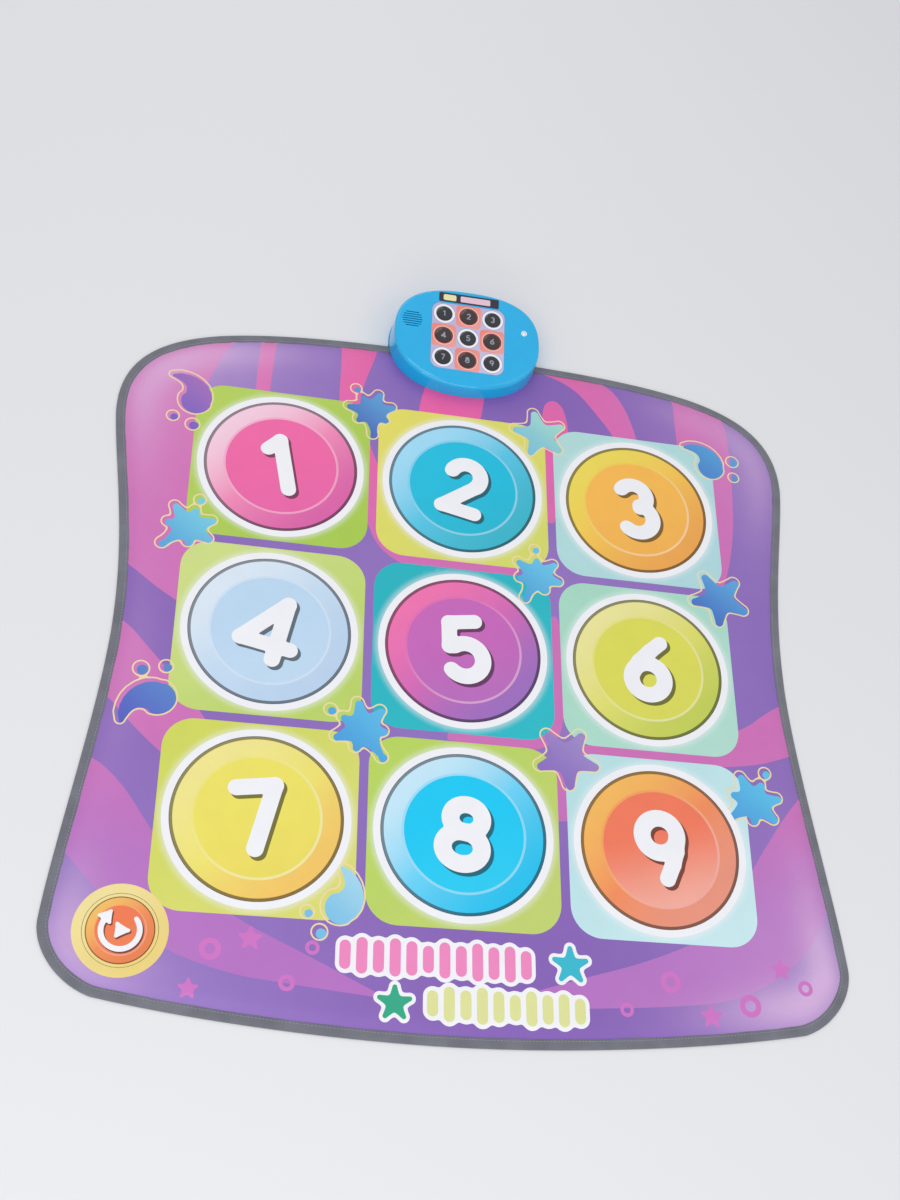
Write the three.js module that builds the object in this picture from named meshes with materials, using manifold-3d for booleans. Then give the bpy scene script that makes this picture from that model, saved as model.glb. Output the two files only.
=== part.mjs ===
// Electronic dance mat: a padded play mat with nine number pads, a start pad and a console.
// Lengths are millimetres. +Z is up and +Y points from the mat to the console.
// The origin is on the floor, under the centre of the middle pad.
import * as THREE from "three";
import { mergeVertices } from "three/addons/utils/BufferGeometryUtils.js";
import Module from "manifold-3d";

const wasm = await Module();
wasm.setup();

// Mat outline
const matHalfWidth = 463;
const matTopY = 460;
const matBottomY = -482;

// Right half of the outline, from the middle of the top edge down to the middle of the bottom
// edge: each row is a Bezier stretch of two handles and its end, as shares of the half width and
// of the half length.
const waistShare = 0.917;
const outlineShares = [
  [[0.248, 1], [0.518, 0.996], [0.713, 0.951]],
  [[0.873, 0.911], [0.988, 0.834], [0.979, 0.65]],
  [[0.967, 0.495], [0.914, 0.289], [waistShare, 0.023]],
  [[0.919, -0.21], [0.987, -0.571], [1, -0.762]],
  [[1.004, -0.822], [0.95, -0.902], [0.864, -0.93]],
  [[0.626, -0.972], [0.281, -1], [0, -1]],
];
const outlineSteps = [4, 6, 4, 4, 6, 4];

// Layers of the mat, from the floor up
const backingThickness = 0.8;
const cushionThickness = 1.9;
const filmThickness = 0.2;
const spacerThickness = 1.5;
const coverThickness = 0.5;
const layerGap = 0.05;

// Sewn edge, where the backing and the cover are pinched together in a folded tape
const tapeThickness = 0.5;
const tapeWidth = 12;
const tapeFold = 0.8;
const slopeWidth = 12;
const coreMargin = 1;

// Pads: three columns fill the width between the side borders at the mat's waist
const padColumns = 3;
const sideBorder = 87.5;
const padSpacing = 43;
const startPadRadius = 40;
const startPadInset = 87;
const startPadRise = 104;
const padCrown = 1.3;
const padGap = 0.5;
const contactMargin = 3;
const padSegments = 20;
const coreSegments = 12;

// Console body
const consoleHalfWidth = 103;
const consoleDepth = 150;
const consoleLap = 74;
const consoleFrontHeight = 28;
const consoleRearHeight = 50;
const consoleFrontPower = 2.15;
const consoleRearPower = 2.6;
const consoleSegments = 44;
const shellWall = 2.2;
const shellDraft = 1.5;
const shellFillet = 4;
const fillTurns = 3;
const baseThickness = 2.5;
const baseFlange = 1;
const clearance = 0.3;
const overrun = 5;

// Seat of the console on the mat
const tongueInset = 15;
const tongueSetback = 10;
const sideLap = 9;
const coverCutDepth = 26;

// Console deck: number label, bare name strip, windows and power light
const labelHalfWidth = 51;
const labelHalfDepth = 51;
const labelCorner = 12;
const labelThickness = 0.4;
const windowPitch = 34;
const windowRadius = 11.2;
const windowSeat = 1.2;
const windowProud = 0.5;
const windowDome = 0.4;
const lightHoleRadius = 8.5;
const windowSegments = 14;
const lightHoleSegments = 8;
const stripHalfWidth = 42;
const stripHalfDepth = 7;
const stripCorner = 2;
const stripGap = 2.4;
const ledInset = 24;
const ledY = 20;
const ledRadius = 2.5;
const ledDome = 1;
const ledFlange = 0.6;

// Circuit board
const boardHalfWidth = 48;
const boardHalfDepth = 46;
const boardThickness = 1.6;
const boardDepth = 8.4;
const boardEarWidth = 18;
const postRadius = 3;
const postMargin = 5;
const emitterSize = 3.2;
const emitterHeight = 1.6;
const plugWidth = 26;
const plugDepth = 8;
const plugHeight = 3;
const plugSetback = 17;

// Loudspeaker and its grille
const speakerInset = 25;
const speakerY = 19;
const speakerRadius = 16;
const speakerRim = 1.5;
const speakerDepth = 9;
const magnetRadius = 10;
const magnetHeight = 4;
const cupWall = 1.4;
const cupDepth = 5;
const grilleRadius = 14;
const grilleSlotWidth = 1.5;
const grillePitch = 3.5;
const grilleSlots = 7;

// Power switch in the right side wall
const switchLength = 16;
const switchWidth = 8;
const switchHeight = 6;
const switchTravel = 6;
const knobLength = 5;
const knobHeight = 3.2;
const knobProud = 2;
const knobFlange = 1.2;
const knobLip = 1.4;

// Battery bay, for three AA cells side by side
const cellCount = 3;
const cellRadius = 7.25;
const cellLength = 49;
const cellNubRadius = 2.75;
const cellNubHeight = 1.5;
const cellSpacing = 15.1;
const baySetback = 36;
const bayWall = 1.5;
const contactThickness = 0.5;
const contactSpring = 2.4;
const contactSpringRadius = 3.5;
const doorThickness = 1.8;
const doorRecess = 0.4;
const doorTabHalfWidth = 5;
const doorTabReach = 7.6;
const doorScrewHeadRadius = 2.6;
const doorScrewShankRadius = 1.2;
const doorScrewHeadHeight = 0.8;
const doorScrewLength = 5.6;
const doorScrewPlay = 0.7;
const doorBossHeight = 6;

// Screws that clamp the shell to the base
const screwFrontX = 62;
const screwFrontSetback = 29;
const screwRearX = 60;
const screwRearSetback = 20;
const screwHeadRadius = 3.5;
const screwHeadHeight = 1;
const screwRecess = 0.3;
const screwShankRadius = 1.5;
const screwLength = 14;
const bossRadius = 4.2;
const screwSegments = 12;

// Locating rim and stiffening ribs
const rimHeight = 4;
const rimWall = 1.5;
const ribThickness = 1.2;
const ribDepth = 6;
const ribLift = 2;
const ribTurnShares = [0.13, 0.2, 0.3, 0.37, 0.6, 0.7, 0.8, 0.9];

// Ribbon tail from the films to the board
const tailWidth = 20;
const tailThickness = 0.4;
const tailRun = 6;
const tailBend = 4;

// Heights that follow from the layers
const cushionZ = backingThickness + layerGap;
const lowerFilmZ = cushionZ + cushionThickness + layerGap;
const spacerZ = lowerFilmZ + filmThickness + layerGap;
const upperFilmZ = spacerZ + spacerThickness + layerGap;
const coverZ = upperFilmZ + filmThickness + layerGap;
const coverTopZ = coverZ + coverThickness;
const sewnBackingZ = tapeThickness + layerGap;
const sewnCoverZ = sewnBackingZ + backingThickness + layerGap;
const sewnTopZ = sewnCoverZ + coverThickness;
const tapeTopZ = sewnTopZ + layerGap + tapeThickness;
const coreInset = tapeWidth + slopeWidth + coreMargin;

// Pads and their places that follow from the mat's sizes
const padRoom = 2 * (waistShare * matHalfWidth - sideBorder) - (padColumns - 1) * padSpacing;
const padRadius = padRoom / (2 * padColumns);
const padPitch = 2 * padRadius + padSpacing;
const startPadX = startPadInset - matHalfWidth;
const startPadY = matBottomY + startPadRise;

// Places that follow from the mat's and the console's sizes
const stepY = matTopY + clearance;
const consoleFrontY = matTopY - consoleLap;
const consoleRearY = consoleFrontY + consoleDepth;
const tongueHalfWidth = consoleHalfWidth - tongueInset;
const tongueFrontY = consoleFrontY + tongueSetback;
const coverCutY = matTopY - coverCutDepth;
const screwFrontY = consoleFrontY + screwFrontSetback;
const screwRearY = consoleRearY - screwRearSetback;
const bayMidY = consoleRearY - baySetback;
const ledX = consoleHalfWidth - ledInset;
const speakerX = speakerInset - consoleHalfWidth;
const consoleMidY = consoleFrontY + consoleDepth / 2;
const consoleHalfDepth = consoleDepth / 2;
const deckSlope = Math.atan((consoleRearHeight - consoleFrontHeight) / consoleDepth);
const deckMidZ = deckHeight(consoleMidY);
const shellBottomZ = baseThickness + clearance;
const stripMidY = labelHalfDepth + stripGap + stripHalfDepth;
const cellAxisZ = doorRecess + doorThickness + clearance + cellRadius;
const cellReach = cellLength / 2 + clearance + contactSpring + contactThickness + clearance;
const bayHalfDepth = ((cellCount - 1) * cellSpacing) / 2 + cellRadius + clearance;
const bayRoofZ = cellAxisZ + cellRadius + clearance;
const switchMidX = consoleHalfWidth - shellWall - shellDraft - knobFlange - switchWidth;

// Height of the console's deck over a place on its midline
function deckHeight(y) {
  return consoleFrontHeight + (y - consoleFrontY) * Math.tan(deckSlope);
}

// Solids: a closed geometry as a solid that can be cut and joined, and back
function solidOf(geometry) {
  const bare = new THREE.BufferGeometry();
  bare.setAttribute("position", geometry.getAttribute("position"));
  bare.setIndex(geometry.index);
  const merged = mergeVertices(bare);
  const mesh = new wasm.Mesh({
    numProp: 3,
    vertProperties: merged.attributes.position.array,
    triVerts: new Uint32Array(merged.index.array),
  });
  return new wasm.Manifold(mesh);
}

function geometryOf(solid) {
  const mesh = solid.getMesh();
  const points = new Float32Array(mesh.numVert * 3);
  for (let i = 0; i < mesh.numVert; i += 1) {
    points.set(mesh.vertProperties.subarray(i * mesh.numProp, i * mesh.numProp + 3), i * 3);
  }
  const geometry = new THREE.BufferGeometry();
  geometry.setAttribute("position", new THREE.BufferAttribute(points, 3));
  geometry.setIndex(new THREE.BufferAttribute(mesh.triVerts, 1));
  return geometry;
}

function cut(geometry, tools) {
  return geometryOf(tools.reduce((left, tool) => left.subtract(solidOf(tool)), solidOf(geometry)));
}

function join(geometries) {
  return geometryOf(geometries.map(solidOf).reduce((whole, next) => whole.add(next)));
}

function common(first, second) {
  return geometryOf(solidOf(first).intersect(solidOf(second)));
}

// A moulding: bodies joined, then cut, in one pass
function moulding(bodies, tools) {
  const whole = bodies.map(solidOf).reduce((sum, next) => sum.add(next));
  return geometryOf(tools.map(solidOf).reduce((left, tool) => left.subtract(tool), whole));
}

// A box from its lowest to its highest place along each axis
function block([x0, x1], [y0, y1], [z0, z1]) {
  const box = new THREE.BoxGeometry(x1 - x0, y1 - y0, z1 - z0);
  return box.translate((x0 + x1) / 2, (y0 + y1) / 2, (z0 + z1) / 2);
}

// An upright round bar
function rod(radius, [z0, z1], x, y, segments) {
  const bar = new THREE.CylinderGeometry(radius, radius, z1 - z0, segments);
  return bar.rotateX(Math.PI / 2).translate(x, y, (z0 + z1) / 2);
}

// A turned piece, from its profile of [radius, height] points that starts and ends on the axis
function turned(profile, segments) {
  const points = profile.map(([radius, height]) => new THREE.Vector2(radius, height));
  return new THREE.LatheGeometry(points, segments).rotateX(Math.PI / 2);
}

// An upright plate with a rounded outline
function roundedPlate(halfWidth, halfDepth, corner, [z0, z1], turns = 4, holes = []) {
  const shape = new THREE.Shape();
  const right = halfWidth - corner;
  const back = halfDepth - corner;
  shape.absarc(right, -back, corner, -Math.PI / 2, 0);
  shape.absarc(right, back, corner, 0, Math.PI / 2);
  shape.absarc(-right, back, corner, Math.PI / 2, Math.PI);
  shape.absarc(-right, -back, corner, Math.PI, 1.5 * Math.PI);
  shape.holes.push(...holes);
  const options = { depth: z1 - z0, bevelEnabled: false, curveSegments: turns };
  return new THREE.ExtrudeGeometry(shape, options).translate(0, 0, z0);
}

// An upright plate with half-round ends
function slotPlate(halfLength, radius, [z0, z1]) {
  const shape = new THREE.Shape();
  const middle = halfLength - radius;
  shape.absarc(middle, 0, radius, -Math.PI / 2, Math.PI / 2);
  shape.absarc(-middle, 0, radius, Math.PI / 2, 1.5 * Math.PI);
  const options = { depth: z1 - z0, bevelEnabled: false, curveSegments: 3 };
  return new THREE.ExtrudeGeometry(shape, options).translate(0, 0, z0);
}

// Walls between rings of the same number of points, each ring anticlockwise from above
function wallFaces(rings, count, closed) {
  const faces = [];
  const bands = closed ? rings : rings - 1;
  for (let ring = 0; ring < bands; ring += 1) {
    const upper = ring * count;
    const lower = ((ring + 1) % rings) * count;
    for (let i = 0; i < count; i += 1) {
      const next = (i + 1) % count;
      faces.push(upper + i, lower + i, lower + next, upper + i, lower + next, upper + next);
    }
  }
  return faces;
}

function meshOf(points, faces) {
  const geometry = new THREE.BufferGeometry().setFromPoints(points);
  geometry.setIndex(faces);
  return geometry;
}

// A closed body between rings given from the top down, each one flat and convex
function loft(rings) {
  const count = rings[0].length;
  const points = rings.flat();
  const faces = wallFaces(rings.length, count, false);
  const last = (rings.length - 1) * count;
  faces.push(...capFaces(rings[0], []).flat());
  for (const face of capFaces(rings.at(-1), [])) {
    faces.push(...face.reverse().map((i) => last + i));
  }
  return meshOf(points, faces);
}

// The mat's outline, drawn in by an inset, anticlockwise from above
function matRing(inset) {
  const midY = (matTopY + matBottomY) / 2;
  const halfLength = (matTopY - matBottomY) / 2;
  const place = ([across, along]) =>
    new THREE.Vector2(across * matHalfWidth, midY + along * halfLength);
  let start = place([0, 1]);
  const right = [];
  outlineShares.forEach((row, stretch) => {
    const curve = new THREE.CubicBezierCurve(start, ...row.map(place));
    const steps = outlineSteps[stretch];
    for (let i = 0; i < steps; i += 1) right.push(insetPoint(curve, i / steps, inset));
    start = place(row[2]);
  });
  const bottom = new THREE.Vector2(0, matBottomY + inset);
  const left = right.slice(1).reverse().map((p) => new THREE.Vector2(-p.x, p.y));
  return [...right, bottom, ...left].reverse();
}

function insetPoint(curve, share, inset) {
  const point = curve.getPoint(share);
  const along = curve.getTangent(share);
  return new THREE.Vector2(point.x + along.y * inset, point.y - along.x * inset);
}

// Pads: name, place and radius
function padTable() {
  const pads = [];
  for (let number = 1; number <= padColumns ** 2; number += 1) {
    const column = ((number - 1) % padColumns) - (padColumns - 1) / 2;
    const row = (padColumns - 1) / 2 - Math.floor((number - 1) / padColumns);
    const place = { x: column * padPitch, y: row * padPitch };
    pads.push({ name: "pad_" + number, ...place, radius: padRadius });
  }
  pads.push({ name: "start_pad", x: startPadX, y: startPadY, radius: startPadRadius });
  return pads;
}

// Pad holes: the cover's follow the faces, and the hidden layers' are coarser and just clear them
function padHoleRings(segments) {
  return padTable().map(({ x, y, radius }) => {
    const ring = [];
    const widen = segments === padSegments ? 1 : 1 / Math.cos(Math.PI / segments);
    const reach = (radius + padGap) * widen;
    for (let i = 0; i < segments; i += 1) {
      const angle = (2 * Math.PI * i) / segments;
      ring.push(new THREE.Vector2(x + reach * Math.cos(angle), y + reach * Math.sin(angle)));
    }
    return ring;
  });
}

// A sheet whose edge follows a section of [inset, height] points, from its flat top round the
// edge to its flat underside, with holes that go right through
function sheet(section, holes = []) {
  const rings = section.map(([inset, z]) =>
    matRing(inset).map((p) => new THREE.Vector3(p.x, p.y, z)));
  const count = rings[0].length;
  const points = rings.flat();
  const faces = wallFaces(rings.length, count, false);
  const levels = [section[0][1], section.at(-1)[1]];
  const starts = [0, (rings.length - 1) * count];
  const holeStart = points.length;
  for (const z of levels) {
    for (const hole of holes) points.push(...hole.map((p) => new THREE.Vector3(p.x, p.y, z)));
  }
  const holePoints = holes.flat().length;
  starts.forEach((start, level) => {
    const contour = points.slice(start, start + count);
    const indexOf = (i) => (i < count ? start + i : holeStart + level * holePoints + i - count);
    for (const face of capFaces(contour, holes)) {
      const turnedFace = level === 0 ? face : [...face].reverse();
      faces.push(...turnedFace.map(indexOf));
    }
  });
  let at = holeStart;
  for (const hole of holes) {
    hole.forEach((_, i) => {
      const next = (i + 1) % hole.length;
      const [a, b] = [at + i, at + next];
      const [c, d] = [a + holePoints, b + holePoints];
      faces.push(a, d, c, a, b, d);
    });
    at += hole.length;
  }
  return meshOf(points, faces);
}

// Triangles of a flat outline with holes, anticlockwise from above
function capFaces(contour, holes) {
  const flat = contour.map((p) => new THREE.Vector2(p.x, p.y));
  const all = [...flat, ...holes.flat()];
  const clockwiseHoles = holes.map((hole) => [...hole].reverse());
  const order = [...flat.keys()];
  let at = flat.length;
  for (const hole of holes) {
    order.push(...[...hole.keys()].reverse().map((i) => at + i));
    at += hole.length;
  }
  return THREE.ShapeUtils.triangulateShape(flat, clockwiseHoles).map((face) => {
    const [a, b, c] = face.map((i) => order[i]);
    const area = all[b].clone().sub(all[a]).cross(all[c].clone().sub(all[a]));
    return area > 0 ? [a, b, c] : [a, c, b];
  });
}

// A tape folded round the mat's edge, swept from a closed section of [inset, height] points
function foldedTape() {
  const inner = tapeFold;
  const section = [
    [tapeWidth, tapeTopZ],
    [0, tapeTopZ],
    [0, 0],
    [tapeWidth, 0],
    [tapeWidth, tapeThickness],
    [inner, tapeThickness],
    [inner, tapeTopZ - tapeThickness],
    [tapeWidth, tapeTopZ - tapeThickness],
  ];
  const rings = section.map(([inset, z]) =>
    matRing(inset).map((p) => new THREE.Vector3(p.x, p.y, z)));
  return meshOf(rings.flat(), wallFaces(rings.length, rings[0].length, true));
}

// Layers of the mat
function screwPlaces() {
  const places = [];
  for (const side of [-1, 1]) {
    places.push([side * screwFrontX, screwFrontY], [side * screwRearX, screwRearY]);
  }
  return places;
}

function screwHoles(radius, [z0, z1]) {
  const span = [z0 - overrun, z1 + overrun];
  return screwPlaces().map(([x, y]) => rod(radius, span, x, y, screwSegments));
}

function matScrewHoles([z0, z1]) {
  const places = screwPlaces().filter(([, y]) => y < stepY);
  const radius = screwShankRadius + 2 * clearance;
  const span = [z0 - overrun, z1 + overrun];
  return places.map(([x, y]) => rod(radius, span, x, y, lightHoleSegments));
}

// The room that the console takes out of the mat, from its front edge to past the mat's edge
function seatRoom(halfWidth, frontY) {
  const span = [-overrun, coverTopZ + overrun];
  return block([-halfWidth, halfWidth], [frontY, matTopY + overrun], span);
}

function backingSheet() {
  const shoulder = tapeWidth + clearance;
  const bend = shoulder + backingThickness;
  const edge = tapeFold + clearance;
  const section = [
    [bend, backingThickness],
    [shoulder, sewnBackingZ + backingThickness],
    [edge, sewnBackingZ + backingThickness],
    [edge, sewnBackingZ],
    [shoulder + clearance, sewnBackingZ],
    [bend + clearance, 0],
  ];
  const room = seatRoom(tongueHalfWidth + clearance, tongueFrontY - clearance);
  return cut(sheet(section), [room]);
}

function coverSheet() {
  const edge = tapeFold + clearance;
  const foot = tapeWidth + clearance;
  const crest = tapeWidth + slopeWidth;
  const section = [
    [crest, coverTopZ],
    [foot, sewnTopZ],
    [edge, sewnTopZ],
    [edge, sewnCoverZ],
    [foot, sewnCoverZ],
    [crest, coverZ],
  ];
  const room = seatRoom(tongueHalfWidth + clearance, coverCutY);
  const holes = matScrewHoles([coverZ, coverTopZ]);
  return cut(sheet(section, padHoleRings(padSegments)), [room, ...holes]);
}

function coreSheet(z, thickness, holed) {
  const section = [[coreInset, z + thickness], [coreInset, z]];
  return sheet(section, holed ? padHoleRings(coreSegments) : []);
}

function cushionFoam() {
  const room = seatRoom(tongueHalfWidth + clearance, tongueFrontY - clearance);
  return cut(coreSheet(cushionZ, cushionThickness, false), [room]);
}

function film(z, holed) {
  const holes = matScrewHoles([z, z + filmThickness]);
  return cut(coreSheet(z, filmThickness, holed), holes);
}

function padSpacer() {
  const holes = matScrewHoles([spacerZ, coverZ]);
  return cut(coreSheet(spacerZ, spacerThickness, true), holes);
}

function edgeBinding() {
  return cut(foldedTape(), [seatRoom(tongueHalfWidth + sideLap, coverCutY)]);
}

// Pads
function padFace(radius) {
  const crown = (padCrown * radius) / padRadius;
  const profile = [
    [0, coverZ],
    [radius, coverZ],
    [radius, coverTopZ],
    [radius * Math.cos(Math.PI / 4), coverTopZ + crown * Math.sin(Math.PI / 4)],
    [0, coverTopZ + crown],
  ];
  return turned(profile, padSegments).rotateZ(Math.PI / 2);
}

function padContact(radius) {
  const span = [upperFilmZ, upperFilmZ + filmThickness];
  return rod(radius - contactMargin, span, 0, 0, coreSegments);
}

// The console's outline, drawn in by an inset, with a height for each place
function consoleRing(inset, heightAt) {
  const ring = [];
  for (let i = 0; i < consoleSegments; i += 1) {
    const { x, y } = consolePoint(i / consoleSegments, inset);
    ring.push(new THREE.Vector3(x, y, heightAt(y)));
  }
  return ring;
}

function consolePoint(share, inset) {
  const here = consoleEdge(share);
  const small = 0.001;
  const along = consoleEdge(share + small).sub(consoleEdge(share - small)).normalize();
  return new THREE.Vector2(here.x - along.y * inset, here.y + along.x * inset);
}

function consoleEdge(share) {
  const angle = 2 * Math.PI * share;
  const [c, s] = [Math.cos(angle), Math.sin(angle)];
  const power = s > 0 ? consoleRearPower : consoleFrontPower;
  const x = consoleHalfWidth * Math.sign(c) * Math.abs(c) ** (2 / power);
  const y = consoleMidY + consoleHalfDepth * Math.sign(s) * Math.abs(s) ** (2 / power);
  return new THREE.Vector2(x, y);
}

// A housing body: straight drafted sides under a sloped deck with a rounded rim
function housingBody(inset, bottomZ, drop, fillet, turns) {
  const rings = [];
  for (let i = turns; i >= 0; i -= 1) {
    const angle = (Math.PI / 2) * (i / turns);
    const draw = inset + shellDraft + fillet * (1 - Math.cos(angle));
    const sink = drop + fillet * (1 - Math.sin(angle));
    rings.push(consoleRing(draw, (y) => deckHeight(y) - sink));
  }
  rings.push(consoleRing(inset, () => bottomZ));
  return loft(rings);
}

// The deck's own frame: its origin is on the deck over the console's middle, +Z its normal
function onDeck(geometry) {
  const turn = new THREE.Matrix4().makeRotationX(deckSlope);
  turn.setPosition(0, consoleMidY, deckMidZ);
  return geometry.applyMatrix4(turn);
}

function windowPlaces() {
  const places = [];
  for (let row = 1; row >= -1; row -= 1) {
    for (let column = -1; column <= 1; column += 1) {
      places.push([column * windowPitch, row * windowPitch]);
    }
  }
  return places;
}

function deckCuts() {
  const seatDepth = labelThickness + clearance;
  const tools = [
    roundedPlate(labelHalfWidth + clearance, labelHalfDepth + clearance, labelCorner,
      [-seatDepth, overrun]),
    roundedPlate(stripHalfWidth + clearance, stripHalfDepth + clearance, stripCorner,
      [-seatDepth, overrun], 2).translate(0, stripMidY, 0),
    rod(ledRadius + clearance, [-overrun, overrun], ledX, ledY, screwSegments),
    ...grilleSlotTools(),
  ];
  for (const [x, y] of windowPlaces()) {
    const seat = [-seatDepth - windowSeat, 0];
    tools.push(rod(windowRadius + clearance, seat, x, y, windowSegments));
    tools.push(rod(lightHoleRadius, [-overrun, 0], x, y, lightHoleSegments));
  }
  return tools.map(onDeck);
}

function grilleSlotTools() {
  const tools = [];
  const middle = (grilleSlots - 1) / 2;
  for (let i = 0; i < grilleSlots; i += 1) {
    const offset = (i - middle) * grillePitch;
    const halfLength = Math.sqrt(grilleRadius ** 2 - offset ** 2);
    const slot = slotPlate(halfLength, grilleSlotWidth / 2, [-overrun, overrun]);
    tools.push(slot.translate(speakerX, speakerY + offset, 0));
  }
  return tools;
}

function boardPosts() {
  const posts = [];
  const x = boardHalfWidth - postMargin;
  const y = boardHalfDepth - postMargin;
  const span = [-boardDepth + clearance, -shellWall / 2];
  for (const [side, end] of [[-1, -1], [-1, 1], [1, -1], [1, 1]]) {
    posts.push(onDeck(rod(postRadius, span, side * x, end * y, screwSegments)));
  }
  return posts;
}

// A ring under the deck that holds the loudspeaker
function speakerCup() {
  const outer = speakerRadius + clearance + cupWall;
  const wall = rod(outer, [-cupDepth - shellWall, -shellWall / 2], 0, 0, padSegments);
  const bore = rod(speakerRadius + clearance, [-2 * cupDepth, 0], 0, 0, padSegments);
  return onDeck(cut(wall, [bore]).translate(speakerX, speakerY, 0));
}

function screwBosses() {
  return screwPlaces().map(([x, y]) => {
    const foot = y < stepY ? coverTopZ + clearance : shellBottomZ;
    return rod(bossRadius, [foot, deckHeight(y) - shellWall / 2], x, y, screwSegments);
  });
}

// Upright ribs that stiffen the side wall from inside, clear of the base's locating rim
function wallRibs() {
  const root = housingBody(shellWall / 2, shellBottomZ, shellWall / 2, shellFillet, 1);
  const reach = shellWall + ribDepth;
  return ribTurnShares.map((share) => {
    const seat = consolePoint(share, reach / 2);
    const edge = consolePoint(share, 0);
    const foot = baseThickness + rimHeight + ribLift;
    const plate = block([-reach / 2, reach / 2], [-ribThickness / 2, ribThickness / 2],
      [foot, consoleRearHeight]);
    plate.rotateZ(Math.atan2(edge.y - seat.y, edge.x - seat.x)).translate(seat.x, seat.y, 0);
    return common(plate, root);
  });
}

function consoleTopShell() {
  const outer = housingBody(0, shellBottomZ, 0, shellFillet, fillTurns);
  const hollow = housingBody(shellWall, shellBottomZ - overrun, shellWall, shellWall, 1);
  const bodies = [
    cut(outer, [hollow]),
    ...boardPosts(),
    ...screwBosses(),
    ...wallRibs(),
    speakerCup(),
  ];
  const pilot = [shellBottomZ, screwRecess + screwHeadHeight + screwLength + clearance - overrun];
  const matRoom = block([-2 * consoleHalfWidth, 2 * consoleHalfWidth],
    [consoleFrontY - overrun, stepY], [-overrun, coverTopZ + clearance]);
  const tools = [
    ...deckCuts(),
    ...screwHoles(screwShankRadius + clearance, pilot),
    matRoom,
    knobSlot(),
  ];
  return moulding(bodies, tools);
}

// The slot in the side wall that the switch knob slides in
function knobSlot() {
  const halfHeight = knobHeight / 2 + clearance;
  const start = -knobLength / 2 - clearance;
  const end = knobLength / 2 + switchTravel + clearance;
  const slot = block([switchMidX + switchWidth / 2, consoleHalfWidth + overrun], [start, end],
    [-halfHeight, halfHeight]);
  return onDeck(slot.translate(0, knobY(), knobZ()));
}

function knobY() {
  return ledY - switchTravel / 2;
}

function knobZ() {
  return -boardDepth - boardThickness - clearance - switchHeight / 2;
}

// Base: a floor plate with a tongue that lies under the mat
function baseFloor() {
  const plate = loft([
    consoleRing(-baseFlange, () => baseThickness),
    consoleRing(-baseFlange, () => 0),
  ]);
  const front = block([-2 * consoleHalfWidth, 2 * consoleHalfWidth],
    [consoleFrontY - overrun, stepY], [-overrun, baseThickness + overrun]);
  const tongue = block([-tongueHalfWidth, tongueHalfWidth], [tongueFrontY, stepY + overrun],
    [0, baseThickness]);
  return join([cut(plate, [front]), tongue]);
}

// A low rim that stands inside the shell's wall and locates it
function locatingRim() {
  const lean = (shellDraft * (baseThickness + rimHeight + overrun)) / consoleFrontHeight;
  const outerInset = shellWall + lean + clearance;
  const span = [baseThickness + rimHeight, baseThickness / 2];
  const outer = loft(span.map((z) => consoleRing(outerInset, () => z)));
  const top = baseThickness + rimHeight + overrun;
  const inner = loft([top, 0].map((z) => consoleRing(outerInset + rimWall, () => z)));
  const front = block([-2 * consoleHalfWidth, 2 * consoleHalfWidth],
    [consoleFrontY - overrun, stepY + clearance], [-overrun, top]);
  return cut(outer, [inner, front]);
}

function bayWalls() {
  const halfLength = cellReach + bayWall;
  const halfDepth = bayHalfDepth + bayWall;
  return block([-halfLength, halfLength], [bayMidY - halfDepth, bayMidY + halfDepth],
    [0, bayRoofZ + bayWall]);
}

function doorBoss() {
  const halfWidth = doorTabHalfWidth + bayWall;
  const start = bayMidY + bayHalfDepth;
  return block([-halfWidth, halfWidth], [start, start + doorTabReach + bayWall],
    [0, baseThickness + doorBossHeight]);
}

function doorScrewY() {
  return bayMidY + bayHalfDepth + bayWall + doorScrewHeadRadius;
}

function consoleBase() {
  const whole = join([baseFloor(), locatingRim(), bayWalls(), doorBoss()]);
  const start = bayMidY + bayHalfDepth;
  const tools = [
    block([-cellReach, cellReach], [bayMidY - bayHalfDepth, start], [-overrun, bayRoofZ]),
    block([-doorTabHalfWidth - clearance, doorTabHalfWidth + clearance],
      [start - overrun, start + doorTabReach + clearance], [-overrun, baseThickness]),
    rod(doorScrewShankRadius + doorScrewPlay, [0, doorRecess + doorScrewLength + clearance], 0,
      doorScrewY(), screwSegments),
    ...screwHoles(screwShankRadius + clearance, [0, baseThickness]),
  ];
  for (const [x, y] of screwPlaces()) {
    const depth = screwRecess + screwHeadHeight + clearance;
    tools.push(rod(screwHeadRadius + clearance, [-overrun, depth], x, y, screwSegments));
  }
  return cut(whole, tools);
}

function batteryDoor() {
  const z = [doorRecess, doorRecess + doorThickness];
  const start = bayMidY - bayHalfDepth + clearance;
  const end = bayMidY + bayHalfDepth - clearance;
  const plate = block([-cellReach + clearance, cellReach - clearance], [start, end], z);
  const tab = block([-doorTabHalfWidth, doorTabHalfWidth], [end - overrun,
    bayMidY + bayHalfDepth + doorTabReach], z);
  const seat = doorRecess + doorScrewHeadHeight + clearance;
  const tools = [
    rod(doorScrewShankRadius + clearance, [0, baseThickness], 0, doorScrewY(), screwSegments),
    rod(doorScrewHeadRadius + clearance, [0, seat], 0, doorScrewY(), screwSegments),
  ];
  return cut(join([plate, tab]), tools);
}

// A screw with a flat head at its foot
function screw(headRadius, headHeight, shankRadius, length) {
  const profile = [
    [0, 0],
    [headRadius, 0],
    [headRadius, headHeight],
    [shankRadius, headHeight],
    [shankRadius, length - shankRadius],
    [0, length],
  ];
  return turned(profile, screwSegments);
}

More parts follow.
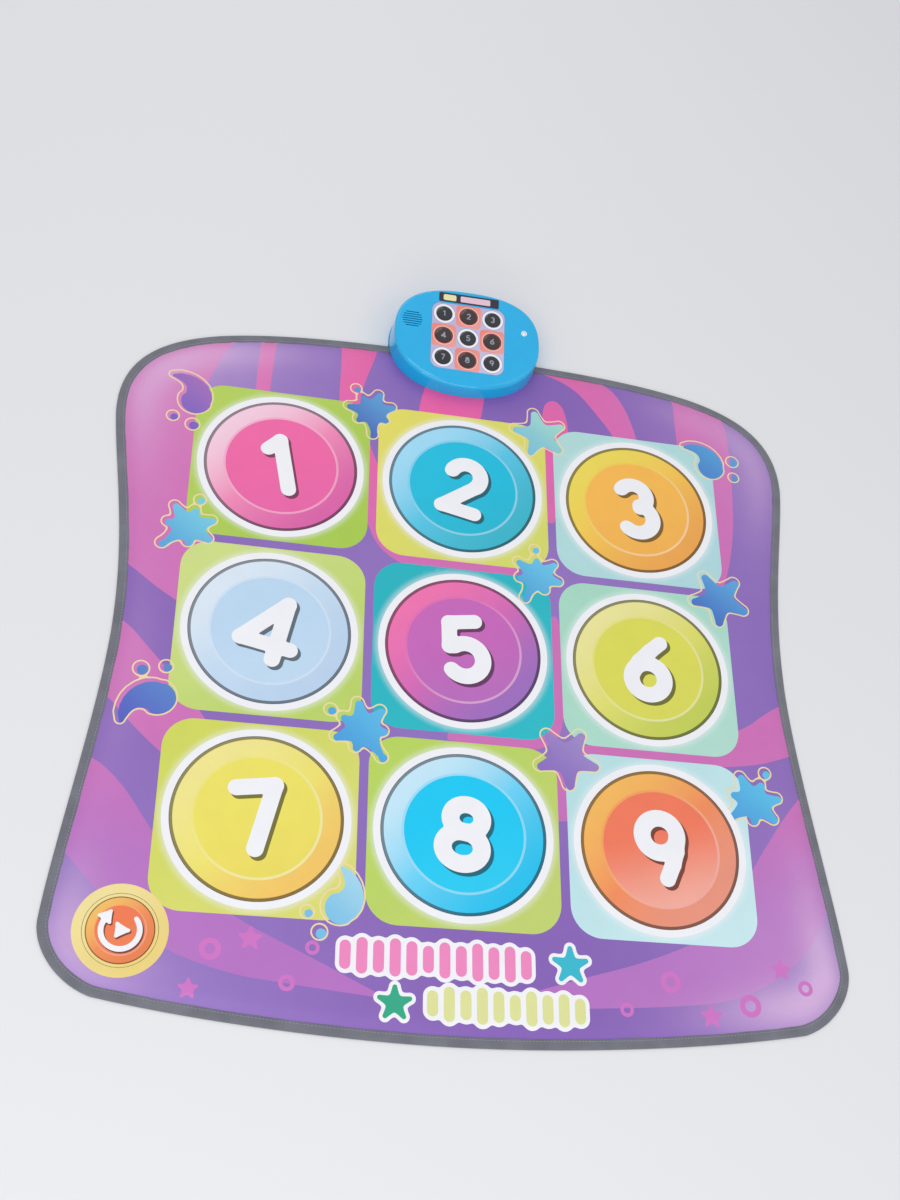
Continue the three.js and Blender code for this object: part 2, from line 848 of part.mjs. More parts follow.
// An AA cell lying along X, with its nub at +X
function cell() {
  const profile = [
    [0, -cellLength / 2],
    [cellRadius, -cellLength / 2],
    [cellRadius, cellLength / 2 - cellNubHeight],
    [cellNubRadius, cellLength / 2 - cellNubHeight],
    [cellNubRadius, cellLength / 2],
    [0, cellLength / 2],
  ];
  return turned(profile, windowSegments).rotateY(Math.PI / 2);
}

// A contact plate with one round spring button for each cell, facing +X
function batteryContact() {
  const halfDepth = bayHalfDepth - clearance;
  const height = cellRadius - clearance;
  const plate = block([0, contactThickness], [-halfDepth, halfDepth], [-height, height]);
  const pieces = [plate];
  for (let i = 0; i < cellCount; i += 1) {
    const y = (i - (cellCount - 1) / 2) * cellSpacing;
    const reach = contactThickness + contactSpring;
    const spring = new THREE.ConeGeometry(contactSpringRadius, reach, lightHoleSegments);
    pieces.push(spring.rotateZ(-Math.PI / 2).translate(reach / 2, y, 0));
  }
  return join(pieces);
}

// Deck pieces, in the deck's own frame
function numberLabel() {
  const holes = windowPlaces().map(([x, y]) => {
    const hole = new THREE.Path();
    for (let i = 0; i < windowSegments; i += 1) {
      const angle = -(2 * Math.PI * i) / windowSegments;
      const reach = windowRadius + clearance;
      const at = [x + reach * Math.sin(angle), y + reach * Math.cos(angle)];
      if (i === 0) hole.moveTo(...at);
      else hole.lineTo(...at);
    }
    return hole;
  });
  return roundedPlate(labelHalfWidth, labelHalfDepth, labelCorner, [-labelThickness, 0], 4,
    holes);
}

function nameStrip() {
  return roundedPlate(stripHalfWidth, stripHalfDepth, stripCorner, [-labelThickness, 0], 2);
}

function numberWindow() {
  const foot = -labelThickness - windowSeat;
  const profile = [
    [0, foot],
    [windowRadius, foot],
    [windowRadius, windowProud],
    [windowRadius * Math.SQRT1_2, windowProud + windowDome * Math.SQRT1_2],
    [0, windowProud + windowDome],
  ];
  return turned(profile, windowSegments);
}

function powerLight() {
  const foot = -boardDepth + clearance;
  const profile = [
    [0, foot],
    [ledRadius + ledFlange, foot],
    [ledRadius + ledFlange, foot + ledFlange],
    [ledRadius, foot + ledFlange],
    [ledRadius, 0],
    [ledRadius * Math.SQRT1_2, ledDome * Math.SQRT1_2],
    [0, ledDome],
  ];
  return turned(profile, screwSegments);
}

function mainBoard() {
  const z = [-boardDepth - boardThickness, -boardDepth];
  const plate = block([-boardHalfWidth, boardHalfWidth], [-boardHalfDepth, boardHalfDepth], z);
  const ear = block([boardHalfWidth - overrun, switchMidX],
    [ledY - boardEarWidth / 2, ledY + boardEarWidth / 2], z);
  const plug = block([-plugWidth / 2, plugWidth / 2],
    [-plugSetback - plugDepth / 2, plugDepth / 2 - plugSetback], [z[0] - plugHeight, z[1]]);
  const half = emitterSize / 2;
  const emitters = windowPlaces().map(([x, y]) =>
    block([x - half, x + half], [y - half, y + half], [z[0], z[1] + emitterHeight]));
  return join([plate, ear, plug, ...emitters]);
}

function loudspeaker() {
  const top = -shellWall - clearance;
  const profile = [
    [0, top - speakerDepth],
    [magnetRadius, top - speakerDepth],
    [magnetRadius, top - speakerDepth + magnetHeight],
    [speakerRadius, top - speakerRim],
    [speakerRadius, top],
    [0, top],
  ];
  return turned(profile, padSegments);
}

function switchBody() {
  const [x, y, z] = [switchWidth / 2, switchLength / 2, switchHeight / 2];
  return block([-x, x], [-y, y], [-z, z]);
}

// The knob's flange stays inside the wall, and its grip stands out through the slot
function switchKnob() {
  const inner = switchWidth / 2 + clearance;
  const outer = consoleHalfWidth - switchMidX - shellDraft + knobProud;
  const [y, z] = [knobLength / 2, knobHeight / 2];
  return join([
    block([inner, inner + knobFlange], [-y - knobLip, y + knobLip], [-z - knobLip, z + knobLip]),
    block([inner, outer], [-y, y], [-z, z]),
  ]);
}

// The ribbon leaves the films, bends up and ends under the board's plug
function ribbonTail() {
  const startY = matTopY - coreInset + clearance;
  const turnY = startY + tailRun;
  const foot = upperFilmZ - tailThickness;
  const rise = tailBend + tailThickness;
  const plugFoot = -boardDepth - boardThickness - plugHeight - 2 * clearance;
  const topZ = deckHeight(consoleMidY - plugSetback) + plugFoot / Math.cos(deckSlope) - clearance;
  const shape = new THREE.Shape();
  shape.moveTo(startY, foot);
  shape.lineTo(turnY, foot);
  shape.absarc(turnY, foot + rise, rise, -Math.PI / 2, 0);
  shape.lineTo(turnY + rise, topZ);
  shape.lineTo(turnY + tailBend, topZ);
  shape.lineTo(turnY + tailBend, foot + rise);
  shape.absarc(turnY, foot + rise, tailBend, 0, -Math.PI / 2, true);
  shape.lineTo(startY, foot + tailThickness);
  const options = { depth: tailWidth, bevelEnabled: false, curveSegments: 4 };
  const strip = new THREE.ExtrudeGeometry(shape, options);
  return strip.rotateY(Math.PI / 2).rotateX(Math.PI / 2).translate(-tailWidth / 2, 0, 0);
}

// Materials
function finish(color, roughness, metalness = 0) {
  return new THREE.MeshStandardMaterial({ color, roughness, metalness });
}

const finishes = {
  cover: finish("#8f62b8", 0.45),
  backing: finish("#3c3d42", 0.9),
  tape: finish("#66676b", 0.8),
  foam: finish("#e8e6df", 0.95),
  film: finish("#cfd6cf", 0.35),
  contact: finish("#2a2a2c", 0.6),
  shell: finish("#12a9dc", 0.25),
  base: finish("#1098c9", 0.4),
  label: finish("#d8d4ea", 0.4),
  strip: finish("#2b2b3a", 0.4),
  window: finish("#23273a", 0.15),
  lamp: finish("#f4f6f8", 0.2),
  board: finish("#2f6b3c", 0.5),
  dark: finish("#2c2c2e", 0.5),
  steel: finish("#b9bcc0", 0.3, 0.9),
  cell: finish("#50555c", 0.35, 0.3),
};

const padColors = ["#ea4c96", "#18aec6", "#f59a1e", "#b9d7f2", "#b84bb4", "#c5d63a", "#ead84a",
  "#18bdea", "#ee6a3c", "#ee5f3c"];

function piece(name, geometry, material) {
  const mesh = new THREE.Mesh(geometry, material);
  mesh.name = name;
  return mesh;
}

// Assembly
function matLayers() {
  const group = new THREE.Group();
  group.add(
    piece("backing_sheet", backingSheet(), finishes.backing),
    piece("cushion_foam", cushionFoam(), finishes.foam),
    piece("lower_circuit_film", film(lowerFilmZ, false), finishes.film),
    piece("pad_spacer", padSpacer(), finishes.foam),
    piece("upper_circuit_film", film(upperFilmZ, true), finishes.film),
    piece("top_cover", coverSheet(), finishes.cover),
    piece("edge_binding", edgeBinding(), finishes.tape),
  );
  return group;
}

function pads() {
  const group = new THREE.Group();
  padTable().forEach(({ name, x, y, radius }, i) => {
    const place = new THREE.Group();
    place.position.set(x, y, 0);
    place.add(
      piece(name + "_face", padFace(radius), finish(padColors[i], 0.45)),
      piece(name + "_contact", padContact(radius), finishes.contact),
    );
    group.add(place);
  });
  return group;
}

function deckPieces() {
  const deck = new THREE.Group();
  deck.position.set(0, consoleMidY, deckMidZ);
  deck.rotation.x = deckSlope;
  const strip = piece("name_strip", nameStrip(), finishes.strip);
  strip.position.y = stripMidY;
  const light = piece("power_light", powerLight(), finishes.lamp);
  light.position.set(ledX, ledY, 0);
  const speaker = piece("loudspeaker", loudspeaker(), finishes.dark);
  speaker.position.set(speakerX, speakerY, 0);
  const body = piece("power_switch_body", switchBody(), finishes.dark);
  body.position.set(switchMidX, ledY, knobZ());
  const knob = piece("power_switch_knob", switchKnob(), finishes.dark);
  knob.position.set(switchMidX, knobY(), knobZ());
  deck.add(piece("number_label", numberLabel(), finishes.label), strip, light, speaker, body, knob);
  deck.add(piece("main_board", mainBoard(), finishes.board));
  windowPlaces().forEach(([x, y], i) => {
    const pane = piece("number_window_" + (i + 1), numberWindow(), finishes.window);
    pane.position.set(x, y, 0);
    deck.add(pane);
  });
  return deck;
}

function caseScrews() {
  const group = new THREE.Group();
  screwPlaces().forEach(([x, y], i) => {
    const shape = screw(screwHeadRadius, screwHeadHeight, screwShankRadius, screwLength);
    const one = piece("case_screw_" + (i + 1), shape, finishes.steel);
    one.position.set(x, y, screwRecess);
    group.add(one);
  });
  return group;
}

function batteryPieces() {
  const group = new THREE.Group();
  for (let i = 0; i < cellCount; i += 1) {
    const one = piece("battery_" + (i + 1), cell(), finishes.cell);
    one.position.set(0, bayMidY + (i - (cellCount - 1) / 2) * cellSpacing, cellAxisZ);
    one.rotation.z = i % 2 === 0 ? 0 : Math.PI;
    group.add(one);
  }
  const ends = { battery_contact_left: -1, battery_contact_right: 1 };
  for (const [name, side] of Object.entries(ends)) {
    const plate = piece(name, batteryContact(), finishes.steel);
    plate.position.set(side * (cellReach - clearance), bayMidY, cellAxisZ);
    plate.rotation.z = side < 0 ? 0 : Math.PI;
    group.add(plate);
  }
  const doorScrew = screw(doorScrewHeadRadius, doorScrewHeadHeight, doorScrewShankRadius,
    doorScrewLength);
  const fastener = piece("battery_door_screw", doorScrew, finishes.steel);
  fastener.position.set(0, doorScrewY(), doorRecess);
  group.add(piece("battery_door", batteryDoor(), finishes.base), fastener);
  return group;
}

function consoleUnit() {
  const group = new THREE.Group();
  group.add(
    piece("console_top_shell", consoleTopShell(), finishes.shell),
    piece("console_base", consoleBase(), finishes.base),
    piece("ribbon_tail", ribbonTail(), finishes.film),
    deckPieces(),
    caseScrews(),
    batteryPieces(),
  );
  return group;
}

const danceMat = new THREE.Group();
danceMat.add(matLayers(), pads(), consoleUnit());
export default danceMat;
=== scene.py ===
# %% [markdown]
# An electronic dance mat is a soft sandwich: a printed vinyl cover and a non-woven backing are
# sewn together in a folded tape, with foam and two circuit films between them. A plastic console
# clamps the middle of its top edge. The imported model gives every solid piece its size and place.
# This file dresses it: it swaps the soft and printed pieces for finer ones, gives the rest their
# finishes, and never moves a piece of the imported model.

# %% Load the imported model
import math

import bmesh
import bpy
import numpy as np
from mathutils import Matrix, Vector, kdtree
from mathutils.geometry import delaunay_2d_cdt


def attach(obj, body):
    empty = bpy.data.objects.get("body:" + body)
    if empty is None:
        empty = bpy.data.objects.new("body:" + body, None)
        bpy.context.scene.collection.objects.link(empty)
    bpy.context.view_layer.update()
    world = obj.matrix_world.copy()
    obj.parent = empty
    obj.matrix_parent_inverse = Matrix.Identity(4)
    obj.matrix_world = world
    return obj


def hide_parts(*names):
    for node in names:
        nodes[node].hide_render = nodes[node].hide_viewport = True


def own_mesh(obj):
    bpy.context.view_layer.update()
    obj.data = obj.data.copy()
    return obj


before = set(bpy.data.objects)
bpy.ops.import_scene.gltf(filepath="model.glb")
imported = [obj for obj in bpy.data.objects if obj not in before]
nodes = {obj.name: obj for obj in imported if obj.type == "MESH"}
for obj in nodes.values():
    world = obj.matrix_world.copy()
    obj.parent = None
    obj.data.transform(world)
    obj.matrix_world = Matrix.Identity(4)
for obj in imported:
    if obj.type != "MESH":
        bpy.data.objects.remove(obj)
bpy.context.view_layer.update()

print("pieces in the packed model:", len(nodes))

# %% [markdown]
# Sizes are easier to read in millimetres, while Blender works in metres. The plan sizes below are
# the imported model's own, so that each finer piece fits the solid that it stands for.

# %% Sizes of the mat, in millimetres
MM = 0.001
MAT_HALF_WIDTH = 463
MAT_TOP_Y = 460
MAT_BOTTOM_Y = -482
OUTLINE_SHARES = [
    [(0, 1), (0.248, 1), (0.518, 0.996), (0.713, 0.951)],
    [(0.713, 0.951), (0.873, 0.911), (0.988, 0.834), (0.979, 0.65)],
    [(0.979, 0.65), (0.967, 0.495), (0.914, 0.289), (0.917, 0.023)],
    [(0.917, 0.023), (0.919, -0.21), (0.987, -0.571), (1, -0.762)],
    [(1, -0.762), (1.004, -0.822), (0.95, -0.902), (0.864, -0.93)],
    [(0.864, -0.93), (0.626, -0.972), (0.281, -1), (0, -1)],
]
PAD_PITCH = 239.05
PAD_RADIUS = 98.02
PAD_GAP = 0.5
PAD_CROWN = 1.3
START_PAD = (-376, -378)
START_PAD_RADIUS = 40
COVER_THICKNESS = 0.5
COVER_TOP_Z = 5.35
SEWN_COVER_Z = 1.9
NOTCH_HALF_WIDTH = 88.3
CONSOLE_FRONT_Y = 386
CONSOLE_MID_Y = 461
CONSOLE_HALF_WIDTH = 103
SCREW_FRONT = (62, 415)

# %% [markdown]
# The outline is a chain of smooth curves, mirrored about the middle. Sampling it finely once, with
# the direction across the edge at each sample, gives every layer: a ring drawn in by an inset is
# the same samples moved along those directions, which is how a cutter offsets a pattern.


# %% The mat's outline
def bezier(handles, shares):
    """Points at shares of the way along a curve with two end points and two handles."""
    a, b, c, d = (np.array(handle, float) for handle in handles)
    t = shares[:, None]
    return a * (1 - t) ** 3 + 3 * b * t * (1 - t) ** 2 + 3 * c * t**2 * (1 - t) + d * t**3


def evenly(line, spacing, closed=True):
    """The same line with its points about spacing apart."""
    ends = np.vstack([line, line[:1]]) if closed else line
    lengths = np.hypot(*np.diff(ends, axis=0).T)
    reach = np.concatenate([[0], np.cumsum(lengths)])
    count = max(3, round(reach[-1] / spacing))
    stations = np.linspace(0, reach[-1], count + (not closed), endpoint=not closed)
    return np.stack([np.interp(stations, reach, ends[:, axis]) for axis in (0, 1)], 1)


def mat_edge(spacing=2.5):
    """The mat's outline, anticlockwise from above, starting at the middle of the bottom edge."""
    middle = (MAT_TOP_Y + MAT_BOTTOM_Y) / 2
    scale = np.array([MAT_HALF_WIDTH, (MAT_TOP_Y - MAT_BOTTOM_Y) / 2])
    shares = np.linspace(0, 1, 200, endpoint=False)
    right = np.vstack([bezier(row, shares) for row in OUTLINE_SHARES]) * scale + (0, middle)
    left = right[::-1][:-1] * (-1, 1)
    bottom = np.array([[0, MAT_BOTTOM_Y]])
    ring = np.vstack([bottom, right[::-1], left[::-1]])
    return evenly(ring, spacing)


def inward(ring):
    """The unit direction across the edge, towards the middle, at each point of a ring."""
    along = np.roll(ring, -1, axis=0) - np.roll(ring, 1, axis=0)
    along /= np.hypot(*along.T)[:, None]
    return np.stack([-along[:, 1], along[:, 0]], 1)


EDGE = mat_edge()
EDGE_INWARD = inward(EDGE)
EDGE_STEP = np.hypot(*(EDGE[1] - EDGE[0]))
print("outline:", len(EDGE), "points,", round(len(EDGE) * EDGE_STEP), "mm round")


# %% Rings and distances from the edge
PART_SIZE = 4000


def edge_ring(inset, spacing=None):
    """The outline drawn in by an inset."""
    ring = EDGE + inset * EDGE_INWARD
    return ring if spacing is None else evenly(ring, spacing)


def from_edge(points):
    """Each point's distance in from the outline, and how far round it lies, in millimetres."""
    distance = np.empty(len(points))
    round_it = np.empty(len(points))
    for start in range(0, len(points), PART_SIZE):
        part = points[start:start + PART_SIZE]
        gaps = part[:, None, :] - EDGE[None, :, :]
        reach = np.hypot(gaps[..., 0], gaps[..., 1])
        nearest = reach.argmin(1)
        offset = gaps[np.arange(len(part)), nearest]
        distance[start:start + PART_SIZE] = (offset * EDGE_INWARD[nearest]).sum(1)
        round_it[start:start + PART_SIZE] = nearest * EDGE_STEP
    return distance, round_it


def notched(ring, half_width, front_y):
    """A ring with a square notch for the console cut into the middle of its top edge."""
    cut = (np.abs(ring[:, 0]) < half_width) & (ring[:, 1] > 0)
    first, last = np.nonzero(cut)[0][[0, -1]]
    side_y = ring[first, 1]
    corners = [(half_width, side_y), (half_width, front_y),
               (-half_width, front_y), (-half_width, side_y)]
    return np.vstack([ring[:first], corners, ring[last + 1:]])


# %% [markdown]
# A printed sheet is one flat cut with a picture on it. Its edges, holes and the borders of each
# printed colour are drawn as lines, and a constrained triangulation makes one mesh that has an
# edge along every line. The print then stays sharp at any distance, because it is in the mesh.


# %% Lines, circles and insides
def circle(centre, radius, spacing=4.0):
    """A closed circle with its points about spacing apart."""
    count = max(12, round(2 * math.pi * radius / spacing))
    angles = np.linspace(0, 2 * math.pi, count, endpoint=False)
    return np.stack([np.cos(angles), np.sin(angles)], 1) * radius + centre


def rounded_plan(half_width, half_depth, corner, centre=(0, 0), turns=12):
    """An anticlockwise rectangle with round corners."""
    angles = np.linspace(0, math.pi / 2, turns)
    plan = []
    for k, (sx, sy) in enumerate(((1, 1), (-1, 1), (-1, -1), (1, -1))):
        middle = (sx * (half_width - corner), sy * (half_depth - corner))
        for a in angles + k * math.pi / 2:
            plan.append((middle[0] + corner * math.cos(a), middle[1] + corner * math.sin(a)))
    return np.array(plan) + centre


def rounded_square(centre, half, corner, spacing=6.0):
    """A closed square with round corners and its points about spacing apart."""
    return evenly(rounded_plan(half, half, corner, centre, 24), spacing)


def inside(points, loops):
    """Tells which points lie inside closed loops, where a loop in a loop is a hole."""
    odd = np.zeros(len(points), bool)
    for loop in loops:
        low, high = loop.min(0), loop.max(0)
        near = np.nonzero(((points >= low) & (points <= high)).all(1))[0]
        x, y = points[near].T
        crossed = np.zeros(len(near), bool)
        for (ax, ay), (bx, by) in zip(loop, np.roll(loop, -1, axis=0)):
            if ay != by:
                level = (ay > y) != (by > y)
                crossed ^= level & (x < (bx - ax) * (y - ay) / (by - ay) + ax)
        odd[near] ^= crossed
    return odd


# %% [markdown]
# Figures such as the digits are drawn as round brush strokes. The distance to the nearest stroke
# is easy to compute, and a line at any level of that distance is the figure's outline, or a border
# a few millimetres outside it. Following the level through a grid of squares finds the line.


# %% Outlines of figures drawn with round strokes
def stroke_distance(strokes, blend=1.0):
    """A function that gives distances to strokes of [x, y, radius, x, y, radius], blended."""
    def distance(points):
        total = np.zeros(len(points))
        for ax, ay, ar, bx, by, br in strokes:
            start, run = np.array([ax, ay]), np.array([bx - ax, by - ay])
            share = (points - start) @ run / max(run @ run, 1e-9)
            share = np.clip(share, 0, 1)
            gap = np.hypot(*(points - start - share[:, None] * run).T)
            total += np.exp(-(gap - ar - share * (br - ar)) / blend)
        return -blend * np.log(np.maximum(total, 1e-300))
    return distance


def level_lines(field, low, high, step, level=0.0):
    """Closed lines round the places where a field is below a level."""
    xs, ys = (np.arange(low[i], high[i] + step, step) for i in (0, 1))
    grid = np.stack(np.meshgrid(xs, ys), -1)
    values = field(grid.reshape(-1, 2)).reshape(grid.shape[:2]) - level
    values[[0, -1], :] = values[:, [0, -1]] = 1.0
    low_side = values < 0
    count = sum(low_side[a:a - 1 or None, b:b - 1 or None].astype(int)
                for a in (0, 1) for b in (0, 1))
    follows, places = {}, {}
    for row, column in zip(*np.nonzero((count > 0) & (count < 4))):
        corners = [(row, column), (row, column + 1), (row + 1, column + 1), (row + 1, column)]
        crossings = []
        for a, b in zip(corners, corners[1:] + corners[:1]):
            if low_side[a] != low_side[b]:
                key = (min(a, b), max(a, b))
                share = values[a] / (values[a] - values[b])
                places[key] = grid[a] + share * (grid[b] - grid[a])
                crossings.append((low_side[a], key))
        if not crossings[0][0]:
            crossings = crossings[1:] + crossings[:1]
        for leaving, entering in zip(crossings[::2], crossings[1::2]):
            follows[leaving[1]] = entering[1]
    lines = []
    while follows:
        start, at = follows.popitem()
        line = [places[start]]
        while at != start:
            line.append(places[at])
            at = follows.pop(at)
        lines.append(np.array(line))
    return lines


def figure_lines(strokes, level=0.0, spacing=1.5, blend=1.0):
    """The outline of a stroked figure, or a line at a distance from it."""
    ends = np.array([stroke[i:i + 2] for stroke in strokes for i in (0, 3)], float)
    room = max(max(stroke[2], stroke[5]) for stroke in strokes) + level + 4
    lines = level_lines(stroke_distance(strokes, blend), ends.min(0) - room, ends.max(0) + room,
                        1.0, level)
    return [evenly(line, spacing) for line in lines if len(line) > 8]


# %% [markdown]
# The triangulation is shared by every flat or gently curved piece. It takes the cut, the print
# zones in the order in which they were printed, and a function for the height of the top. Each
# corner of each triangle keeps the ink of its zone at its own place, so a zone can hold a soft
# airbrushed gradient and still have a sharp border.


# %% Triangles of a flat cut
def ink(code):
    """A colour written as six hexadecimal digits, as light intensities."""
    parts = np.array([int(code[i:i + 2], 16) for i in (0, 2, 4)]) / 255
    return np.where(parts <= 0.04045, parts / 12.92, ((parts + 0.055) / 1.055) ** 2.4)


def plan_triangles(boundary, lines, step, fill=()):
    """Triangles inside a cut, with an edge along every line."""
    loops = [*boundary, *lines]
    points = [tuple(p) for loop in loops for p in loop]
    edges = []
    for loop in loops:
        first = len(edges)
        edges += [(first + i, first + (i + 1) % len(loop)) for i in range(len(loop))]
    tree = kdtree.KDTree(len(points))
    for i, (x, y) in enumerate(points):
        tree.insert((x, y, 0), i)
    tree.balance()
    every = np.array(points)
    low, high = every.min(0), every.max(0)
    rows = np.arange(low[1], high[1], step * 0.866)
    columns = np.arange(low[0], high[0] + step, step)
    grid = np.array([(x + (step / 2) * (i % 2), y) for i, y in enumerate(rows) for x in columns])
    grid = grid[inside(grid, boundary)]
    if len(fill):
        near_fill = kdtree.KDTree(len(fill))
        for i, (x, y) in enumerate(fill):
            near_fill.insert((x, y, 0), i)
        near_fill.balance()
        grid = np.array([p for p in grid if near_fill.find((*p, 0))[2] > 0.6 * step])
        grid = np.vstack([grid, np.asarray(fill)])
    grid = [p for p in grid if tree.find((*p, 0))[2] > min(0.5 * step, 3.0)]
    points += [tuple(p) for p in grid]
    flat, _, triangles, *_ = delaunay_2d_cdt([Vector(p) for p in points], edges, [], 0, 1e-5, False)
    flat = np.array([tuple(p) for p in flat])
    triangles = np.array([t for t in triangles if len(t) == 3])
    a, b, c = (flat[triangles[:, i]] for i in range(3))
    area = (b - a)[:, 0] * (c - a)[:, 1] - (b - a)[:, 1] * (c - a)[:, 0]
    keep = inside((a + b + c) / 3, boundary) & (np.abs(area) > 1e-7)
    triangles, area = triangles[keep], area[keep]
    triangles[area < 0] = triangles[area < 0][:, ::-1]
    used, renumbered = np.unique(triangles, return_inverse=True)
    return flat[used], renumbered.reshape(-1, 3)


# %% Closed sheets
def new_object(name, data):
    """An object that is in the scene."""
    made = bpy.data.objects.new(name, data)
    bpy.context.scene.collection.objects.link(made)
    return made


def mesh_piece(name, points, faces, material=None, matrix=None, sharp=40):
    """A mesh object from points in millimetres, smooth but for edges sharper than an angle."""
    mesh = bpy.data.meshes.new(name)
    mesh.from_pydata((np.asarray(points, float) * MM).tolist(), [], [list(f) for f in faces])
    if matrix is not None:
        mesh.transform(matrix)
    mesh.validate()
    mesh.shade_smooth()
    mesh.set_sharp_from_angle(angle=math.radians(sharp))
    if material is not None:
        mesh.materials.append(material)
    return new_object(name, mesh)


def sheet_piece(name, boundary, step, top, bottom, material, lines=(), fill=(), matrix=None):
    """A closed flat piece. It is returned with its plan, for a print."""
    flat, triangles = plan_triangles(boundary, lines, step, fill)
    count = len(flat)
    upper = np.column_stack([flat, top(flat)])
    lower = np.column_stack([flat, bottom(flat)])
    edges = {(t[i], t[(i + 1) % 3]) for t in triangles.tolist() for i in range(3)}
    rim = sorted(edge for edge in edges if edge[::-1] not in edges)
    walls = [(b, a, a + count, b + count) for a, b in rim]
    faces = [*triangles.tolist(), *(triangles[:, ::-1] + count).tolist(), *walls]
    piece = mesh_piece(name, np.vstack([upper, lower]), faces, material, matrix)
    print(name, "has", len(faces), "faces")
    return piece, (flat, triangles, rim)


# %% Printing on a sheet
def keep_inks(piece, inks):
    """Stores an ink for each corner of each of a piece's faces."""
    attribute = piece.data.attributes.new("print_ink", "FLOAT_COLOR", "CORNER")
    inks = np.column_stack([inks, np.ones(len(inks))])
    attribute.data.foreach_set("color", inks.astype(np.float32).ravel())


def print_zones(piece, plan, zones):
    """Keeps each zone's ink on a piece. Zones are (loops, ink of a place), in printing order."""
    flat, triangles, rim = plan
    centres = flat[triangles].mean(1)
    inks = np.zeros((len(triangles), 3, 3))
    for loops, colour in zones:
        chosen = inside(centres, loops) if loops is not None else np.ones(len(centres), bool)
        at = flat[triangles[chosen]].reshape(-1, 2)
        inks[chosen] = np.broadcast_to(colour(at), (len(at), 3)).reshape(-1, 3, 3)
    ground = np.broadcast_to(zones[0][1](flat), (len(flat), 3))
    keep_inks(piece, np.vstack([inks.reshape(-1, 3), inks[:, ::-1].reshape(-1, 3),
                                *(ground[[b, a, a, b]] for a, b in rim)]))


def printed_piece(name, boundary, zones, step, top, bottom, material, fill=(), matrix=None):
    """A closed sheet with its print."""
    lines = [loop for loops, _ in zones if loops is not None for loop in loops]
    piece, plan = sheet_piece(name, boundary, step, top, bottom, material, lines, fill, matrix)
    print_zones(piece, plan, zones)
    return piece


def cut_area(loops):
    """Area of a cut with holes, in square metres: its first loop less the others."""
    areas = []
    for loop in loops:
        x, y = loop.T
        areas.append(abs(np.dot(x, np.roll(y, -1)) - np.dot(y, np.roll(x, -1))) / 2)
    return (areas[0] - sum(areas[1:])) * MM * MM


# %% [markdown]
# Every finish here is a small net of nodes. The vinyl is printed, so its colour comes from the ink
# that the mesh carries, with a faint mottle. Its satin skin has an embossed grain, which is too
# fine to model, so it is a bump. Plastics, tape, felt and foam get their own nets further on.


# %% Helpers for finishes
def new_finish(name):
    """An empty finish: its material, its node tree and its shader."""
    material = bpy.data.materials.new(name)
    material.use_nodes = True
    tree = material.node_tree
    return material, tree, tree.nodes["Principled BSDF"]


def feed(tree, made, inputs):
    """Puts a value, or another node's output, on each named input of a node."""
    for key, value in inputs.items():
        if isinstance(value, bpy.types.NodeSocket):
            tree.links.new(value, made.inputs[key])
        else:
            made.inputs[key].default_value = value


def grow(tree, kind, inputs=None, **settings):
    """A node with its settings and its inputs."""
    made = tree.nodes.new(kind)
    for key, value in settings.items():
        setattr(made, key, value)
    feed(tree, made, inputs or {})
    return made


def node(tree, kind, inputs=None, **settings):
    """A node of a finish, where the names of all kinds begin alike."""
    return grow(tree, "ShaderNode" + kind, inputs, **settings)


def places(tree, kind="Object"):
    """Places on the piece in millimetres, for patterns."""
    source = node(tree, "TexCoord").outputs[kind]
    return node(tree, "Mapping", {"Vector": source, "Scale": (1000,) * 3}).outputs["Vector"]


def noise(tree, where, scale, detail=2.0):
    """Soft noise, with scale in lumps per millimetre."""
    return node(tree, "TexNoise", {"Vector": where, "Scale": scale, "Detail": detail}).outputs[0]


def between(tree, share, low, high):
    """A number that goes from low to high as a share goes from 0 to 1."""
    return node(tree, "MapRange", {"Value": share, "To Min": low, "To Max": high}).outputs[0]


def tinted(tree, share, dark, light):
    """A colour that goes from dark to light as a share goes from 0 to 1."""
    inputs = {0: share, 6: (*dark, 1), 7: (*light, 1)}
    return node(tree, "Mix", inputs, data_type="RGBA").outputs[2]


def bumps(tree, shader, height, depth):
    """Relief of a depth in millimetres on a shader's surface."""
    relief = node(tree, "Bump", {"Height": height, "Distance": depth * MM})
    tree.links.new(relief.outputs["Normal"], shader.inputs["Normal"])


# %% Printed vinyl
def printed_vinyl(name, roughness=0.42, grained=True, **inputs):
    """Satin printed vinyl, or a like skin, that reads the ink its mesh carries."""
    material, tree, shader = new_finish(name)
    where = places(tree)
    print_ink = node(tree, "Attribute", attribute_name="print_ink").outputs["Color"]
    mottle = tinted(tree, noise(tree, where, 0.035, 4.0), (0.9, 0.9, 0.9), (1.06, 1.06, 1.06))
    shade = node(tree, "Mix", {0: 0.5, 6: print_ink, 7: mottle}, data_type="RGBA",
                 blend_type="MULTIPLY")
    wear = noise(tree, where, 0.02, 5.0)
    feed(tree, shader, {"Base Color": shade.outputs[2], "Specular IOR Level": 0.35,
                        "Roughness": between(tree, wear, roughness - 0.07, roughness + 0.09),
                        **inputs})
    if grained:
        grain = node(tree, "TexVoronoi", {"Vector": where, "Scale": 0.55}, feature="SMOOTH_F1")
        bumps(tree, shader, grain.outputs["Distance"], 0.16)
    return material


COVER_VINYL = printed_vinyl("printed_cover_vinyl")
PAD_VINYL = printed_vinyl("printed_pad_vinyl", 0.36)


# %% [markdown]
# The cover is sewn down under the tape and rises over the edge of the foam, so its border swells
# like a pillow and puckers where the stitches draw it in. Between the pads it waves gently. It is
# modelled with these heights directly: a cloth simulation of a sheet that is stretched over flat
# foam would settle to the same form, and the print needs a mesh whose edges stay where they are.


